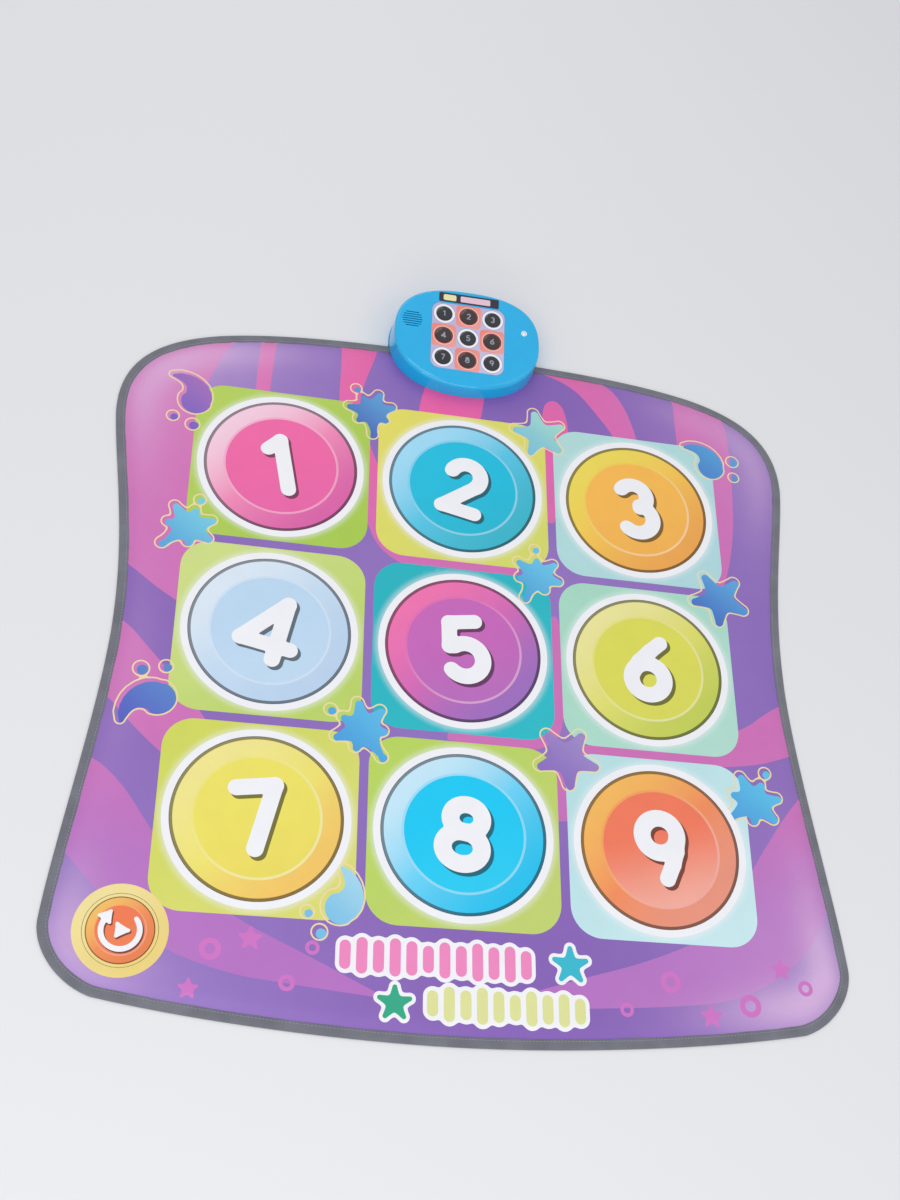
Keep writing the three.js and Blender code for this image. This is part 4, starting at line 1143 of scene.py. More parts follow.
def stitch_tree(thread):
    """Sews along a line."""
    tree, start, end = tree_with("sew_along_a_line", ["Pitch", "Length", "Width"])
    bead = grow(tree, "GeometryNodeMeshUVSphere", {"Segments": 6, "Rings": 4, "Radius": 0.5})
    size = grow(tree, "ShaderNodeCombineXYZ", {"X": start.outputs["Width"],
                                               "Y": start.outputs["Width"],
                                               "Z": start.outputs["Length"]})
    bead = grow(tree, "GeometryNodeTransform", {"Geometry": bead.outputs[0],
                                                "Scale": size.outputs[0]})
    along = grow(tree, "GeometryNodeInputTangent")
    turn = grow(tree, "FunctionNodeAlignRotationToVector", {"Vector": along.outputs[0]}, axis="Z")
    sewn = grow(tree, "GeometryNodeInstanceOnPoints",
                {"Points": marks_along(tree, start), "Instance": bead.outputs[0],
                 "Rotation": turn.outputs[0]})
    finish_tree(tree, end, sewn.outputs[0], thread)
    return tree


# %% The seam through the tape
THREAD = thread_finish()
STITCH_SIZES = {"Pitch": 4.0 * MM, "Length": 3.1 * MM, "Width": 0.85 * MM}
SEAM_INSET = 9.2
SEAM_Z = 2.5


def line_piece(points):
    """A mesh of only a line, for a tree to follow."""
    mesh = bpy.data.meshes.new("line")
    edges = [(i, i + 1) for i in range(len(points) - 1)]
    mesh.from_pydata((np.asarray(points, float) * MM).tolist(), edges, [])
    return new_object("line", mesh)


def seam_piece():
    """The stitches on the tape's upper face."""
    kept, _ = tape_stations()
    path = EDGE[kept] + SEAM_INSET * EDGE_INWARD[kept]
    source = line_piece(np.column_stack([path, np.full(len(path), SEAM_Z)]))
    return grown_piece("tape_stitches", source, stitch_tree(THREAD), STITCH_SIZES, THREAD)


seam = seam_piece()
seam.data.shade_smooth()
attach(seam, "mat")
cut_area(cover_cut())


# %% [markdown]
# Under the cover lie the spacer foam with a hole for each pad, the two circuit films and the
# cushion foam, over a non-woven felt backing. None of them shows from above, but the backing is
# what one sees when the mat is turned over, so it gets its raised border and its pressed dots.


# %% Felt and foam finishes
def speckled(name, dark, light, scale, depth, roughness, cells=False):
    """A matte finish with fine relief: fibres of felt or cells of foam."""
    material, tree, shader = new_finish(name)
    where = places(tree)
    if cells:
        fine = node(tree, "TexVoronoi", {"Vector": where, "Scale": scale}).outputs["Distance"]
    else:
        fine = noise(tree, where, scale, 6.0)
    blotch = noise(tree, where, 0.02, 3.0)
    tone = node(tree, "Math", {0: fine, 1: blotch}, operation="ADD").outputs[0]
    tone = between(tree, tone, -0.1, 0.8)
    feed(tree, shader, {"Base Color": tinted(tree, tone, dark, light), "Roughness": roughness})
    bumps(tree, shader, fine, depth)
    return material


def felt():
    """Non-woven backing: tangled fibres with a grid of pressed dots."""
    material = speckled("felt_backing", ink("2f3036"), ink("4c4e55"), 1.1, 0.12, 0.95)
    tree = material.node_tree
    shader = tree.nodes["Principled BSDF"]
    dots = node(tree, "TexVoronoi", {"Vector": places(tree), "Scale": 0.22, "Randomness": 0.0})
    pressed = between(tree, dots.outputs["Distance"], 0.0, 1.6)
    base = shader.inputs["Normal"].links[0].from_socket
    relief = node(tree, "Bump", {"Height": pressed, "Distance": 0.25 * MM, "Normal": base})
    feed(tree, shader, {"Normal": relief.outputs["Normal"], "Sheen Weight": 0.3})
    return material


FELT = felt()
FOAM = speckled("white_foam", ink("dcd9d0"), ink("f1efe8"), 0.9, 0.3, 0.95, cells=True)

# %% Backing and foams
BACKING_NOTCH_Y = 395.7
BACKING_THICKNESS = 0.8
CORE_INSET = 25
CUSHION_Z = (0.85, 2.75)
SPACER_Z = (3.05, 4.55)


def level(height):
    """A height that is the same everywhere."""
    return lambda points: np.full(len(points), float(height))


def backing_height(points):
    """Top of the backing: it steps up to lie in the folded tape."""
    depth, _ = from_edge(points)
    return BACKING_THICKNESS + 0.55 * soft_step(-depth, -13.4, -12.3)


def backing_piece():
    """The backing, with the console's notch."""
    cut = [notched(edge_ring(RAW_EDGE_INSET), NOTCH_HALF_WIDTH, BACKING_NOTCH_Y)]
    fill = np.vstack([edge_ring(inset, 6.0) for inset in (6, 12, 12.6, 13.1, 13.7)])
    piece, _ = sheet_piece("felt_backing_sheet", cut, 22.0, backing_height,
                           lambda points: backing_height(points) - BACKING_THICKNESS, FELT,
                           fill=fill[inside(fill, cut)])
    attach(piece, "mat")
    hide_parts("backing_sheet")


def foam_piece(name, cut, low, high, replaced):
    """A flat foam layer."""
    piece, _ = sheet_piece(name, cut, 30.0, level(high), level(low), FOAM)
    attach(piece, "mat")
    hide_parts(replaced)


backing_piece()
core = edge_ring(CORE_INSET, 5.0)
foam_piece("cushion_foam_sheet", [notched(core, NOTCH_HALF_WIDTH, BACKING_NOTCH_Y)], *CUSHION_Z,
           "cushion_foam")
pad_holes = [circle(centre, radius + 0.9) for _, centre, radius, _ in pad_places()]
foam_piece("pad_spacer_foam", [core, *pad_holes, *SCREW_HOLES], *SPACER_Z, "pad_spacer")

# %% [markdown]
# The console is an injection-moulded housing of two halves. Its plan is a squared-off oval, its
# sides lean in a little so that it leaves its mould, and a fillet that is fuller at the front runs
# round its sloped deck. It is lofted through rings of that plan and then cut as a moulder would,
# with recesses, windows and slots. The cutting is exact, and weighting the normals by face area
# keeps the flat deck free of streaks beside the round edge.

# %% Sizes of the console
CONSOLE_HALF_DEPTH = 75
DECK_SLOPE = math.atan(22 / 150)
FRONT_HEIGHT = 28
FRONT_POWER, REAR_POWER = 2.15, 2.6
SHELL_WALL, SHELL_DRAFT, SHELL_FILLET, FRONT_FILLET = 2.2, 1.5, 4, 8
SHELL_BOTTOM, BASE_THICKNESS = 2.8, 2.5
CLEARANCE = 0.3
OVERRUN = 5
STEP_Y = 460.3
RING_POINTS = 176
SHARP_DEGREES = 32
BOSS_RADIUS, PILOT_RADIUS, SCREW_SINK_RADIUS = 4.2, 1.8, 3.8
TONGUE_HALF_WIDTH, TONGUE_FRONT_Y = 88, 396
RIM_HEIGHT, RIM_LEAN, RIM_WALL = 4, 0.62, 1.5


def deck_height(y):
    """Height of the deck over a place on the midline."""
    return FRONT_HEIGHT + (y - CONSOLE_FRONT_Y) * math.tan(DECK_SLOPE)


DECK = (Matrix.Translation((0, CONSOLE_MID_Y * MM, deck_height(CONSOLE_MID_Y) * MM))
        @ Matrix.Rotation(DECK_SLOPE, 4, "X"))


# %% Solids by rings and plans
def console_edge(share):
    """Points on the console's outline."""
    angle = 2 * math.pi * np.asarray(share)
    c, s = np.cos(angle), np.sin(angle)
    power = np.where(s > 0, REAR_POWER, FRONT_POWER)
    x = CONSOLE_HALF_WIDTH * np.sign(c) * np.abs(c) ** (2 / power)
    y = CONSOLE_MID_Y + CONSOLE_HALF_DEPTH * np.sign(s) * np.abs(s) ** (2 / power)
    return np.stack([x, y], -1)


def console_plan(inset):
    """The console's outline drawn in by an inset, with its points evenly spaced.

    The inset is a number, or gives one for each place from the front to the rear.
    """
    fine = evenly(console_edge(np.arange(2000) / 2000), 0.3)
    if callable(inset):
        inset = inset(fine[:, 1])[:, None]
    ring = fine + inset * inward(fine)
    return ring[(np.arange(RING_POINTS) * len(ring)) // RING_POINTS]


def console_ring(inset, height_at):
    """A ring of the console with a height for each place."""
    plan = console_plan(inset)
    return np.column_stack([plan, height_at(plan[:, 1])])


def loft_piece(name, rings):
    """A closed solid through rings given from the top down, each one flat."""
    count = len(rings[0])
    faces = [tuple(range(count)), tuple(range(len(rings) * count - 1,
                                              (len(rings) - 1) * count - 1, -1))]
    for i in range(len(rings) - 1):
        for j in range(count):
            k = (j + 1) % count
            faces.append((i * count + j, (i + 1) * count + j, (i + 1) * count + k, i * count + k))
    return mesh_piece(name, np.vstack(rings), faces)


def prism(plan, low, high, matrix=None):
    """An upright solid with a plan that runs anticlockwise."""
    rings = [np.column_stack([plan, np.full(len(plan), float(z))]) for z in (high, low)]
    piece = loft_piece("tool", rings)
    if matrix is not None:
        piece.data.transform(matrix)
    return piece


def block(x, y, z, matrix=None):
    """A solid box from its lowest to its highest place along each axis."""
    plan = np.array([(x[0], y[0]), (x[1], y[0]), (x[1], y[1]), (x[0], y[1])], float)
    return prism(plan, *z, matrix)


def rod(centre, radius, low, high, matrix=None, spacing=0.8):
    """An upright round bar."""
    return prism(circle(centre, radius, spacing), low, high, matrix)


# %% Joining, cutting and smoothing solids
def shaped(piece, added=(), removed=(), name=None, material=None):
    """Joins solids to a piece and cuts others away, exactly."""
    for operation, tools in (("UNION", added), ("DIFFERENCE", removed)):
        for tool in tools:
            step = piece.modifiers.new("shape", "BOOLEAN")
            step.operation, step.object, step.solver = operation, tool, "MANIFOLD"
    mesh = evaluated_mesh(piece)
    for used in (piece, *added, *removed):
        bpy.data.objects.remove(used)
    tidy = bmesh.new()
    tidy.from_mesh(mesh)
    bmesh.ops.remove_doubles(tidy, verts=tidy.verts, dist=1e-6)
    bmesh.ops.dissolve_degenerate(tidy, edges=tidy.edges, dist=1e-6)
    tidy.to_mesh(mesh)
    tidy.free()
    mesh.materials.clear()
    if material is not None:
        mesh.materials.append(material)
    mesh.shade_smooth()
    mesh.set_sharp_from_angle(angle=math.radians(SHARP_DEGREES))
    made = new_object(name or "solid", mesh)
    if name:
        evened(made)
        print(name, "has", len(made.data.polygons), "faces")
    return made


def evened(piece):
    """Weights a piece's normals by face area, so that flat faces beside fillets look flat."""
    step = piece.modifiers.new("even", "WEIGHTED_NORMAL")
    step.keep_sharp, step.weight = True, 100
    mesh = evaluated_mesh(piece)
    piece.modifiers.remove(step)
    piece.data = mesh


# %% [markdown]
# Glossy moulded plastic is smooth but never quite flat. A faint slow ripple in the surface bends
# the reflections, the roughness drifts a little, and the colour has a very weak mottle. Its skin
# took the mould's polish, so it is a clear coat over the duller colour. The base and the small
# parts are the same plastic from a mould with a fine spark-eroded texture.


# %% Moulded plastic
def moulded(name, colour, roughness, texture=0.0, coat=0.0, ripple=0.05):
    """Moulded plastic: glossy or with a fine mould texture."""
    material, tree, shader = new_finish(name)
    where = places(tree)
    slow = noise(tree, where, 0.03, 2.0)
    fine = noise(tree, where, 2.2, 3.0)
    wear = noise(tree, where, 0.12, 4.0)
    relief = node(tree, "Bump", {"Height": slow, "Distance": ripple * MM})
    skin = node(tree, "Bump", {"Height": fine, "Distance": max(texture, 0.001) * MM,
                               "Normal": relief.outputs[0]})
    feed(tree, shader, {
        "Base Color": tinted(tree, slow, colour * 0.94, np.minimum(colour * 1.05, 1)),
        "Roughness": between(tree, wear, 0.8 * roughness, 1.25 * roughness),
        "Specular IOR Level": 0.4 - 0.3 * coat, "Coat Weight": coat, "Coat Roughness": 0.08,
        "Normal": skin.outputs["Normal"]})
    return material


SHELL_PLASTIC = moulded("glossy_cyan_plastic", ink("00b0e8"), 0.26, 0.002, 0.8, 0.3)
BASE_PLASTIC = moulded("textured_blue_plastic", ink("0098d2"), 0.42, 0.03)
DARK_PLASTIC = moulded("dark_plastic", ink("2c2c30"), 0.45, 0.03)
LENS = moulded("clear_lens", ink("eef3f8"), 0.08, 0.001, 0.6)

# %% [markdown]
# The top half of the housing carries everything on its deck: a recess for the number label with a
# seat and a light hole for each window, a recess for the bare strip, the hole of the power light,
# the speaker's slots and, in its right side, the slot of the switch. Inside are the posts of the
# board, the screw bosses and the speaker's cup, as in the imported model.

# %% Sizes of the deck
WINDOW_PITCH, WINDOW_RADIUS = 34, 11.2
LABEL_HALF, LABEL_CORNER, LABEL_THICKNESS = 51, 12, 0.4
WINDOW_SEAT = 1.2
LIGHT_HOLE_RADIUS = 8.5
STRIP_HALF = (42, 7)
STRIP_Y = 60.4
LIGHT_PLACE, LIGHT_RADIUS = (79, 20), 2.5
SPEAKER_PLACE, SPEAKER_RADIUS = (-78, 19), 16
GRILLE_RADIUS, GRILLE_PITCH, GRILLE_SLOT = 14, 3.5, 1.5
BOARD_HALF, BOARD_DEPTH = (48, 46), 8.4
SCREWS = [(side * x, y) for side in (-1, 1) for x, y in (SCREW_FRONT, (60, 516))]
KNOB_PLACE = (90.1, 17, -13.3)
KNOB_LENGTH, KNOB_HEIGHT, KNOB_TRAVEL, KNOB_FACE_X = 5, 3.2, 6, 103.1
WINDOWS = [((column - 1) * WINDOW_PITCH, (1 - row) * WINDOW_PITCH)
           for row in range(3) for column in range(3)]


# %% The top shell
def housing(inset, bottom, drop, fillet, front_fillet, turns):
    """Drafted sides under a sloped deck with a rounded rim, which is fuller at the front."""
    def rounding(y):
        ahead = np.clip((CONSOLE_MID_Y - y) / CONSOLE_HALF_DEPTH, 0, 1)
        return fillet + (front_fillet - fillet) * soft_step(ahead, 0, 0.9)

    rings = []
    for angle in np.linspace(math.pi / 2, 0, turns + 1):
        def draw(y, share=1 - math.cos(angle)):
            return inset + SHELL_DRAFT + rounding(y) * share

        def top(y, share=1 - math.sin(angle)):
            return deck_height(y) - drop - rounding(y) * share
        rings.append(console_ring(draw, top))
    rings.append(console_ring(inset, lambda y: np.full(len(y), bottom)))
    return loft_piece("housing", rings)


def deck_tools():
    """What is cut out of the deck."""
    seat = LABEL_THICKNESS + CLEARANCE
    tools = [prism(rounded_plan(LABEL_HALF + CLEARANCE, LABEL_HALF + CLEARANCE, LABEL_CORNER),
                   -seat, OVERRUN, DECK),
             prism(rounded_plan(STRIP_HALF[0] + CLEARANCE, STRIP_HALF[1] + CLEARANCE, 2,
                                (0, STRIP_Y)), -seat, OVERRUN, DECK),
             rod(LIGHT_PLACE, LIGHT_RADIUS + CLEARANCE, -OVERRUN, OVERRUN, DECK, 0.4)]
    for centre in WINDOWS:
        tools.append(rod(centre, WINDOW_RADIUS + CLEARANCE, -seat - WINDOW_SEAT, 0.2, DECK))
        tools.append(rod(centre, LIGHT_HOLE_RADIUS, -OVERRUN, 0, DECK))
    for i in range(-3, 4):
        offset = i * GRILLE_PITCH
        half = math.sqrt(GRILLE_RADIUS**2 - offset**2)
        centre = (SPEAKER_PLACE[0], SPEAKER_PLACE[1] + offset)
        tools.append(prism(rounded_plan(half, GRILLE_SLOT / 2, GRILLE_SLOT / 2 - 0.01, centre, 8),
                           -OVERRUN, OVERRUN, DECK))
    return tools


def deck_fittings():
    """What stands inside the shell: board posts, screw bosses and the speaker's cup."""
    fittings = []
    for sx, sy in ((-1, -1), (-1, 1), (1, -1), (1, 1)):
        place = (sx * (BOARD_HALF[0] - 5), sy * (BOARD_HALF[1] - 5))
        fittings.append(rod(place, 3, CLEARANCE - BOARD_DEPTH, -SHELL_WALL / 2, DECK))
    for x, y in SCREWS:
        foot = COVER_TOP_Z + CLEARANCE if y < STEP_Y else SHELL_BOTTOM
        fittings.append(rod((x, y), BOSS_RADIUS, foot, deck_height(y) - SHELL_WALL / 2))
    cup = rod(SPEAKER_PLACE, SPEAKER_RADIUS + 1.7, -5 - SHELL_WALL, -SHELL_WALL / 2, DECK)
    bore = rod(SPEAKER_PLACE, SPEAKER_RADIUS + CLEARANCE, -10, 0, DECK)
    fittings.append(shaped(cup, removed=[bore]))
    return fittings


def knob_slot():
    """The slot in the side wall that the switch knob slides in."""
    x, y, z = KNOB_PLACE
    half_length, half_height = KNOB_LENGTH / 2 + CLEARANCE, KNOB_HEIGHT / 2 + CLEARANCE
    return block((x + 4, CONSOLE_HALF_WIDTH + OVERRUN),
                 (y - half_length, y + half_length + KNOB_TRAVEL),
                 (z - half_height, z + half_height), DECK)


def top_shell():
    """The top half of the housing."""
    outer = housing(0, SHELL_BOTTOM, 0, SHELL_FILLET, FRONT_FILLET, 12)
    inner = housing(SHELL_WALL, SHELL_BOTTOM - OVERRUN, SHELL_WALL, SHELL_WALL, SHELL_FILLET, 4)
    hollow = shaped(outer, removed=[inner])
    wide = 2 * CONSOLE_HALF_WIDTH
    mat_room = block((-wide, wide), (CONSOLE_FRONT_Y - OVERRUN, STEP_Y),
                     (-OVERRUN, COVER_TOP_Z + CLEARANCE))
    pilots = [rod(place, PILOT_RADIUS, SHELL_BOTTOM, 10.6) for place in SCREWS]
    return shaped(hollow, deck_fittings(), [*deck_tools(), mat_room, knob_slot(), *pilots],
                  "console_shell", SHELL_PLASTIC)


shell = top_shell()
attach(shell, "mat")
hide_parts("console_top_shell")


# %% [markdown]
# The bottom half is a floor plate with a thin flange that shows as the parting line, a tongue that
# lies under the mat, a rim that centres the shell, and the bay for three cells with its door.

# %% The base
BAY_Y = 500
BAY_HALF_DEPTH = 22.65
BAY_REACH = 28
BAY_WALL = 1.5
BAY_ROOF = 17.3
DOOR_TAB_HALF, DOOR_TAB_REACH = 5, 7.6
DOOR_SCREW_Y = 526.75
DOOR_Z = (0.4, 2.2)
DOOR_GRIP = [(0, 482, 0.42), (0, 491, 0.42)]


def console_base():
    """The bottom half of the housing."""
    wide = 2 * CONSOLE_HALF_WIDTH
    plate = loft_piece("floor_plate", [
        console_ring(inset, lambda y, z=z: np.full(len(y), z))
        for inset, z in ((-0.5, BASE_THICKNESS), (-0.85, 2.35), (-1, 2.0), (-1, 0.4), (-0.7, 0))])
    front = block((-wide, wide), (CONSOLE_FRONT_Y - OVERRUN, STEP_Y), (-OVERRUN, 9))
    tongue = block((-TONGUE_HALF_WIDTH, TONGUE_HALF_WIDTH), (TONGUE_FRONT_Y, STEP_Y + OVERRUN),
                   (0, BASE_THICKNESS))
    rim_top = BASE_THICKNESS + RIM_HEIGHT
    rims = [loft_piece("rim", [console_ring(SHELL_WALL + RIM_LEAN + CLEARANCE + more,
                                            lambda y, z=z: np.full(len(y), z))
                               for z in (top, low)])
            for more, top, low in ((0, rim_top, 1.2), (RIM_WALL, rim_top + OVERRUN, -OVERRUN))]
    front_rim = block((-wide, wide), (CONSOLE_FRONT_Y - OVERRUN, STEP_Y + CLEARANCE),
                      (-OVERRUN, rim_top + 9))
    rim = shaped(rims[0], removed=[rims[1], front_rim])
    half_x, half_y = BAY_REACH + BAY_WALL, BAY_HALF_DEPTH + BAY_WALL
    walls = block((-half_x, half_x), (BAY_Y - half_y, BAY_Y + half_y), (0, BAY_ROOF + BAY_WALL))
    rear = BAY_Y + BAY_HALF_DEPTH
    boss = block((-DOOR_TAB_HALF - BAY_WALL, DOOR_TAB_HALF + BAY_WALL),
                 (rear, rear + DOOR_TAB_REACH + BAY_WALL), (0, BASE_THICKNESS + 6))
    tab_half = DOOR_TAB_HALF + CLEARANCE
    tools = [block((-BAY_REACH, BAY_REACH), (BAY_Y - BAY_HALF_DEPTH, rear), (-OVERRUN, BAY_ROOF)),
             block((-tab_half, tab_half), (rear - OVERRUN, rear + DOOR_TAB_REACH + CLEARANCE),
                   (-OVERRUN, BASE_THICKNESS)),
             rod((0, DOOR_SCREW_Y), 1.9, 0.1, 6.3),
             *(rod(place, PILOT_RADIUS, 0.1, BASE_THICKNESS + 1) for place in SCREWS),
             *(rod(place, SCREW_SINK_RADIUS, -OVERRUN, 1.6) for place in SCREWS)]
    cut = shaped(plate, removed=[front])
    return shaped(cut, [tongue, rim, walls, boss], tools, "console_floor", BASE_PLASTIC)


base = console_base()
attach(base, "mat")
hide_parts("console_base")

# %% [markdown]
# The keypad is a printed label with a window in each of its nine holes: navy windows in white
# rings on lavender, and brown ones in dark red rings on salmon squares, each with a small grey
# number. The windows are separate smoked lenses, so they have their own gloss and stand a little
# above the label.

# %% Number label
LAVENDER, SALMON = (ink("b9b4dc"), ink("c9c4e4")), (ink("ee8a80"), ink("f4a096"))
NAVY, BROWN, NUMBER_GREY = ink("10131f"), ink("2c1214"), ink("8f96a0")
LABEL_RINGS = [((15.4, ink("8f8ac8")), (14.8, WHITE)),
               ((14.6, ink("f9c4bc")), (13.2, ink("8e3a36")))]


def label_zones():
    """Print of the label, in the deck's own frame."""
    zones = [(None, slanted(*LAVENDER, (0, 0), 60))]
    for i, centre in enumerate(WINDOWS):
        if i % 2:
            square = rounded_square(centre, WINDOW_PITCH / 2 + 0.6, 6, 2)
            near = [np.clip(square, -LABEL_HALF + 0.3, LABEL_HALF - 0.3)]
            zones.append((near, slanted(*SALMON, centre, 24)))
    for i, centre in enumerate(WINDOWS):
        zones += [([circle(centre, radius, 1.2)], plain(colour))
                  for radius, colour in LABEL_RINGS[i % 2]]
    return zones


label_cut = [rounded_plan(LABEL_HALF, LABEL_HALF, LABEL_CORNER),
             *(circle(centre, WINDOW_RADIUS + CLEARANCE, 1) for centre in WINDOWS)]
LABEL_PRINT = printed_vinyl("printed_label", 0.3)
label = printed_piece("keypad_label", label_cut, label_zones(), 5.0, level(0),
                      level(-LABEL_THICKNESS), LABEL_PRINT, matrix=DECK)
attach(label, "mat")
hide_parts("number_label")


# %% Windows of the numbers
def window_height(centre):
    """Top of a lens: a shallow dome with a rounded rim."""
    def height(points):
        share = np.clip(np.hypot(*(points - centre).T) / WINDOW_RADIUS, 0, 1)
        rim = np.sqrt(np.clip(1 - np.clip((share - 0.93) / 0.07, 0, 1) ** 2, 0, 1))
        return 0.25 + 0.25 * rim + 0.4 * (1 - share**2)
    return height


SMOKED = printed_vinyl("smoked_window", 0.12, False, **{"Coat Weight": 0.6,
                                                        "Coat Roughness": 0.04})
for i, centre in enumerate(WINDOWS):
    dark = BROWN if i % 2 else NAVY
    number = figure_lines(stroked(DIGIT_LINES[i + 1], centre, 10, 0.72), 0.0, 0.35, 0.1)
    zones = [(None, plain(0.5 * dark)), ([circle(centre, 0.86 * WINDOW_RADIUS, 1)], plain(dark)),
             (number, plain(NUMBER_GREY))]
    fill = np.vstack([circle(centre, share * WINDOW_RADIUS, 1) for share in (0.98, 0.96, 0.94)])
    top = window_height(centre)
    window = printed_piece(f"window_{i + 1}", [circle(centre, WINDOW_RADIUS, 1)], zones, 1.6,
                           top, level(-1.6), SMOKED, fill, DECK)
    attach(window, "mat")
    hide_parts(f"number_window_{i + 1}")

# %% [markdown]
# The strip above the keypad is a bare dark plate with two blank inlays. The power light is a turned
# lens in a pale ring: each is a profile spun round its axis.

# %% Bare strip and power light
strip_cut = [rounded_plan(*STRIP_HALF, 2, (0, STRIP_Y))]
strip_zones = [(None, plain(ink("2b2b3a"))),
               ([rounded_plan(9, 4.6, 2.5, (-27, STRIP_Y))], plain(ink("efe6b0"))),
               ([rounded_plan(21, 4.6, 1.5, (9, STRIP_Y))], plain(ink("e9c6d4")))]
strip = printed_piece("bare_strip", strip_cut, strip_zones, 4.0, level(0),
                      level(-LABEL_THICKNESS), LABEL_PRINT, matrix=DECK)
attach(strip, "mat")
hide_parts("name_strip")


def turned(name, profile, material, matrix, turns=48):
    """A solid of revolution about +Z, from a profile that starts and ends on the axis."""
    angles = np.linspace(0, 2 * math.pi, turns, endpoint=False)
    points = [(0, 0, profile[0][1])]
    for radius, height in profile[1:-1]:
        points += [(radius * math.cos(a), radius * math.sin(a), height) for a in angles]
    points.append((0, 0, profile[-1][1]))
    faces, last = [], len(points) - 1
    for j in range(turns):
        k = (j + 1) % turns
        faces.append((0, 1 + k, 1 + j))
        for i in range(len(profile) - 3):
            a, b = 1 + i * turns, 1 + (i + 1) * turns
            faces.append((a + j, a + k, b + k, b + j))
        faces.append((last, last - turns + j, last - turns + k))
    return mesh_piece(name, points, faces, material, matrix)


def dome(radius, rise, foot, steps=8):
    """Profile of a lens with a domed top."""
    cap = [(radius * math.cos(a), rise * math.sin(a))
           for a in np.linspace(0, math.pi / 2, steps + 1)]
    return [(0, foot), (radius + 0.6, foot), (radius + 0.6, foot + 0.6), (radius, foot + 0.6),
            *cap[:-1], (0, rise)]


light_ring = shaped(rod(LIGHT_PLACE, 4.1, -0.1, 0.4, DECK, 0.4),
                    removed=[rod(LIGHT_PLACE, LIGHT_RADIUS + CLEARANCE, -1, 2, DECK, 0.4)],
                    name="light_ring", material=LENS)
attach(light_ring, "mat")
light_turn = DECK @ Matrix.Translation((LIGHT_PLACE[0] * MM, LIGHT_PLACE[1] * MM, 0))
light = turned("power_lens", dome(LIGHT_RADIUS, 1.0, -8.1), LENS, light_turn)
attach(light, "mat")
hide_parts("power_light")


# %% [markdown]
# Steel parts are zinc plated: bright, with a faint cloudy colour and fine turning marks. The four
# case screws are one screw repeated, so a tree sets it on four points. Its head is turned and its
# cross recess is cut once, before it is repeated.


# %% Steel and screws
def plated_steel():
    """Zinc plated steel."""
    material, tree, shader = new_finish("plated_steel")
    where = places(tree)
    cloud = noise(tree, where, 0.5, 4.0)
    feed(tree, shader, {"Base Color": tinted(tree, cloud, (0.5, 0.51, 0.53), (0.66, 0.67, 0.66)),
                        "Roughness": between(tree, cloud, 0.22, 0.4), "Metallic": 1.0})
    bumps(tree, shader, noise(tree, where, 6.0, 2.0), 0.01)
    return material


STEEL = plated_steel()
THREAD_PITCH = 1.2


def screw_shape(head_radius, head_height, shank_radius, length, foot, centre=(0, 0)):
    """A screw with its head at its foot, a rounded head edge, threads and a cross recess."""
    r, h, s = head_radius, head_height, shank_radius
    profile = [(0, foot), (r - 0.5, foot), (r - 0.15, foot + 0.12), (r, foot + 0.45),
               (r, foot + h), (s, foot + h)]
    turns = int((length - h - 1.5) / THREAD_PITCH)
    for i in range(turns):
        z = foot + h + 0.6 + THREAD_PITCH * i
        profile += [(0.72 * s, z), (s, z + 0.45), (0.72 * s, z + 0.9)]
    profile += [(0.6 * s, foot + length - 0.8), (0, foot + length)]
    at = Matrix.Translation((centre[0] * MM, centre[1] * MM, 0))
    body = turned("screw", profile, None, at, 24)
    x, y = centre
    arms = [block((x - a, x + a), (y - b, y + b), (foot - 1, foot + 0.7))
            for a, b in ((0.55 * r, 0.11 * r), (0.11 * r, 0.55 * r))]
    return body, arms


def scatter_tree(copies_of, material):
    """Sets one shape on each point of a mesh."""
    tree, start, end = tree_with("set_on_points", ["Size"])
    shape = grow(tree, "GeometryNodeObjectInfo", {"Object": copies_of})
    placed = grow(tree, "GeometryNodeInstanceOnPoints",
                  {"Points": start.outputs["Geometry"], "Instance": shape.outputs["Geometry"],
                   "Scale": start.outputs["Size"]})
    finish_tree(tree, end, placed.outputs[0], material)
    return tree


CASE_SCREW = {"head_radius": 3.5, "head_height": 1.0, "shank_radius": 1.5, "length": 14,
              "foot": 0.3}
DOOR_SCREW = {"head_radius": 2.6, "head_height": 0.8, "shank_radius": 1.2, "length": 5.6,
              "foot": 0.4, "centre": (0, DOOR_SCREW_Y)}


def case_screws():
    """Four case screws as one piece."""
    body, arms = screw_shape(**CASE_SCREW)
    one = shaped(body, removed=arms)
    points = line_piece([(x, y, 0) for x, y in SCREWS])
    piece = grown_piece("case_screws", points, scatter_tree(one, STEEL), {"Size": 1.0}, STEEL)
    bpy.data.objects.remove(one)
    return piece


screws = case_screws()
screws.data.set_sharp_from_angle(angle=math.radians(SHARP_DEGREES))
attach(screws, "mat")
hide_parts(*(f"case_screw_{i}" for i in range(1, 5)))

body, arms = screw_shape(**DOOR_SCREW)
door_screw = shaped(body, removed=arms, name="door_screw", material=STEEL)
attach(door_screw, "battery_door")
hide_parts("battery_door_screw")

# %% [markdown]
# The battery door has grip ribs, which a tree repeats along a line. The same tree ribs the knob of
# the power switch, so that a finger can push it.


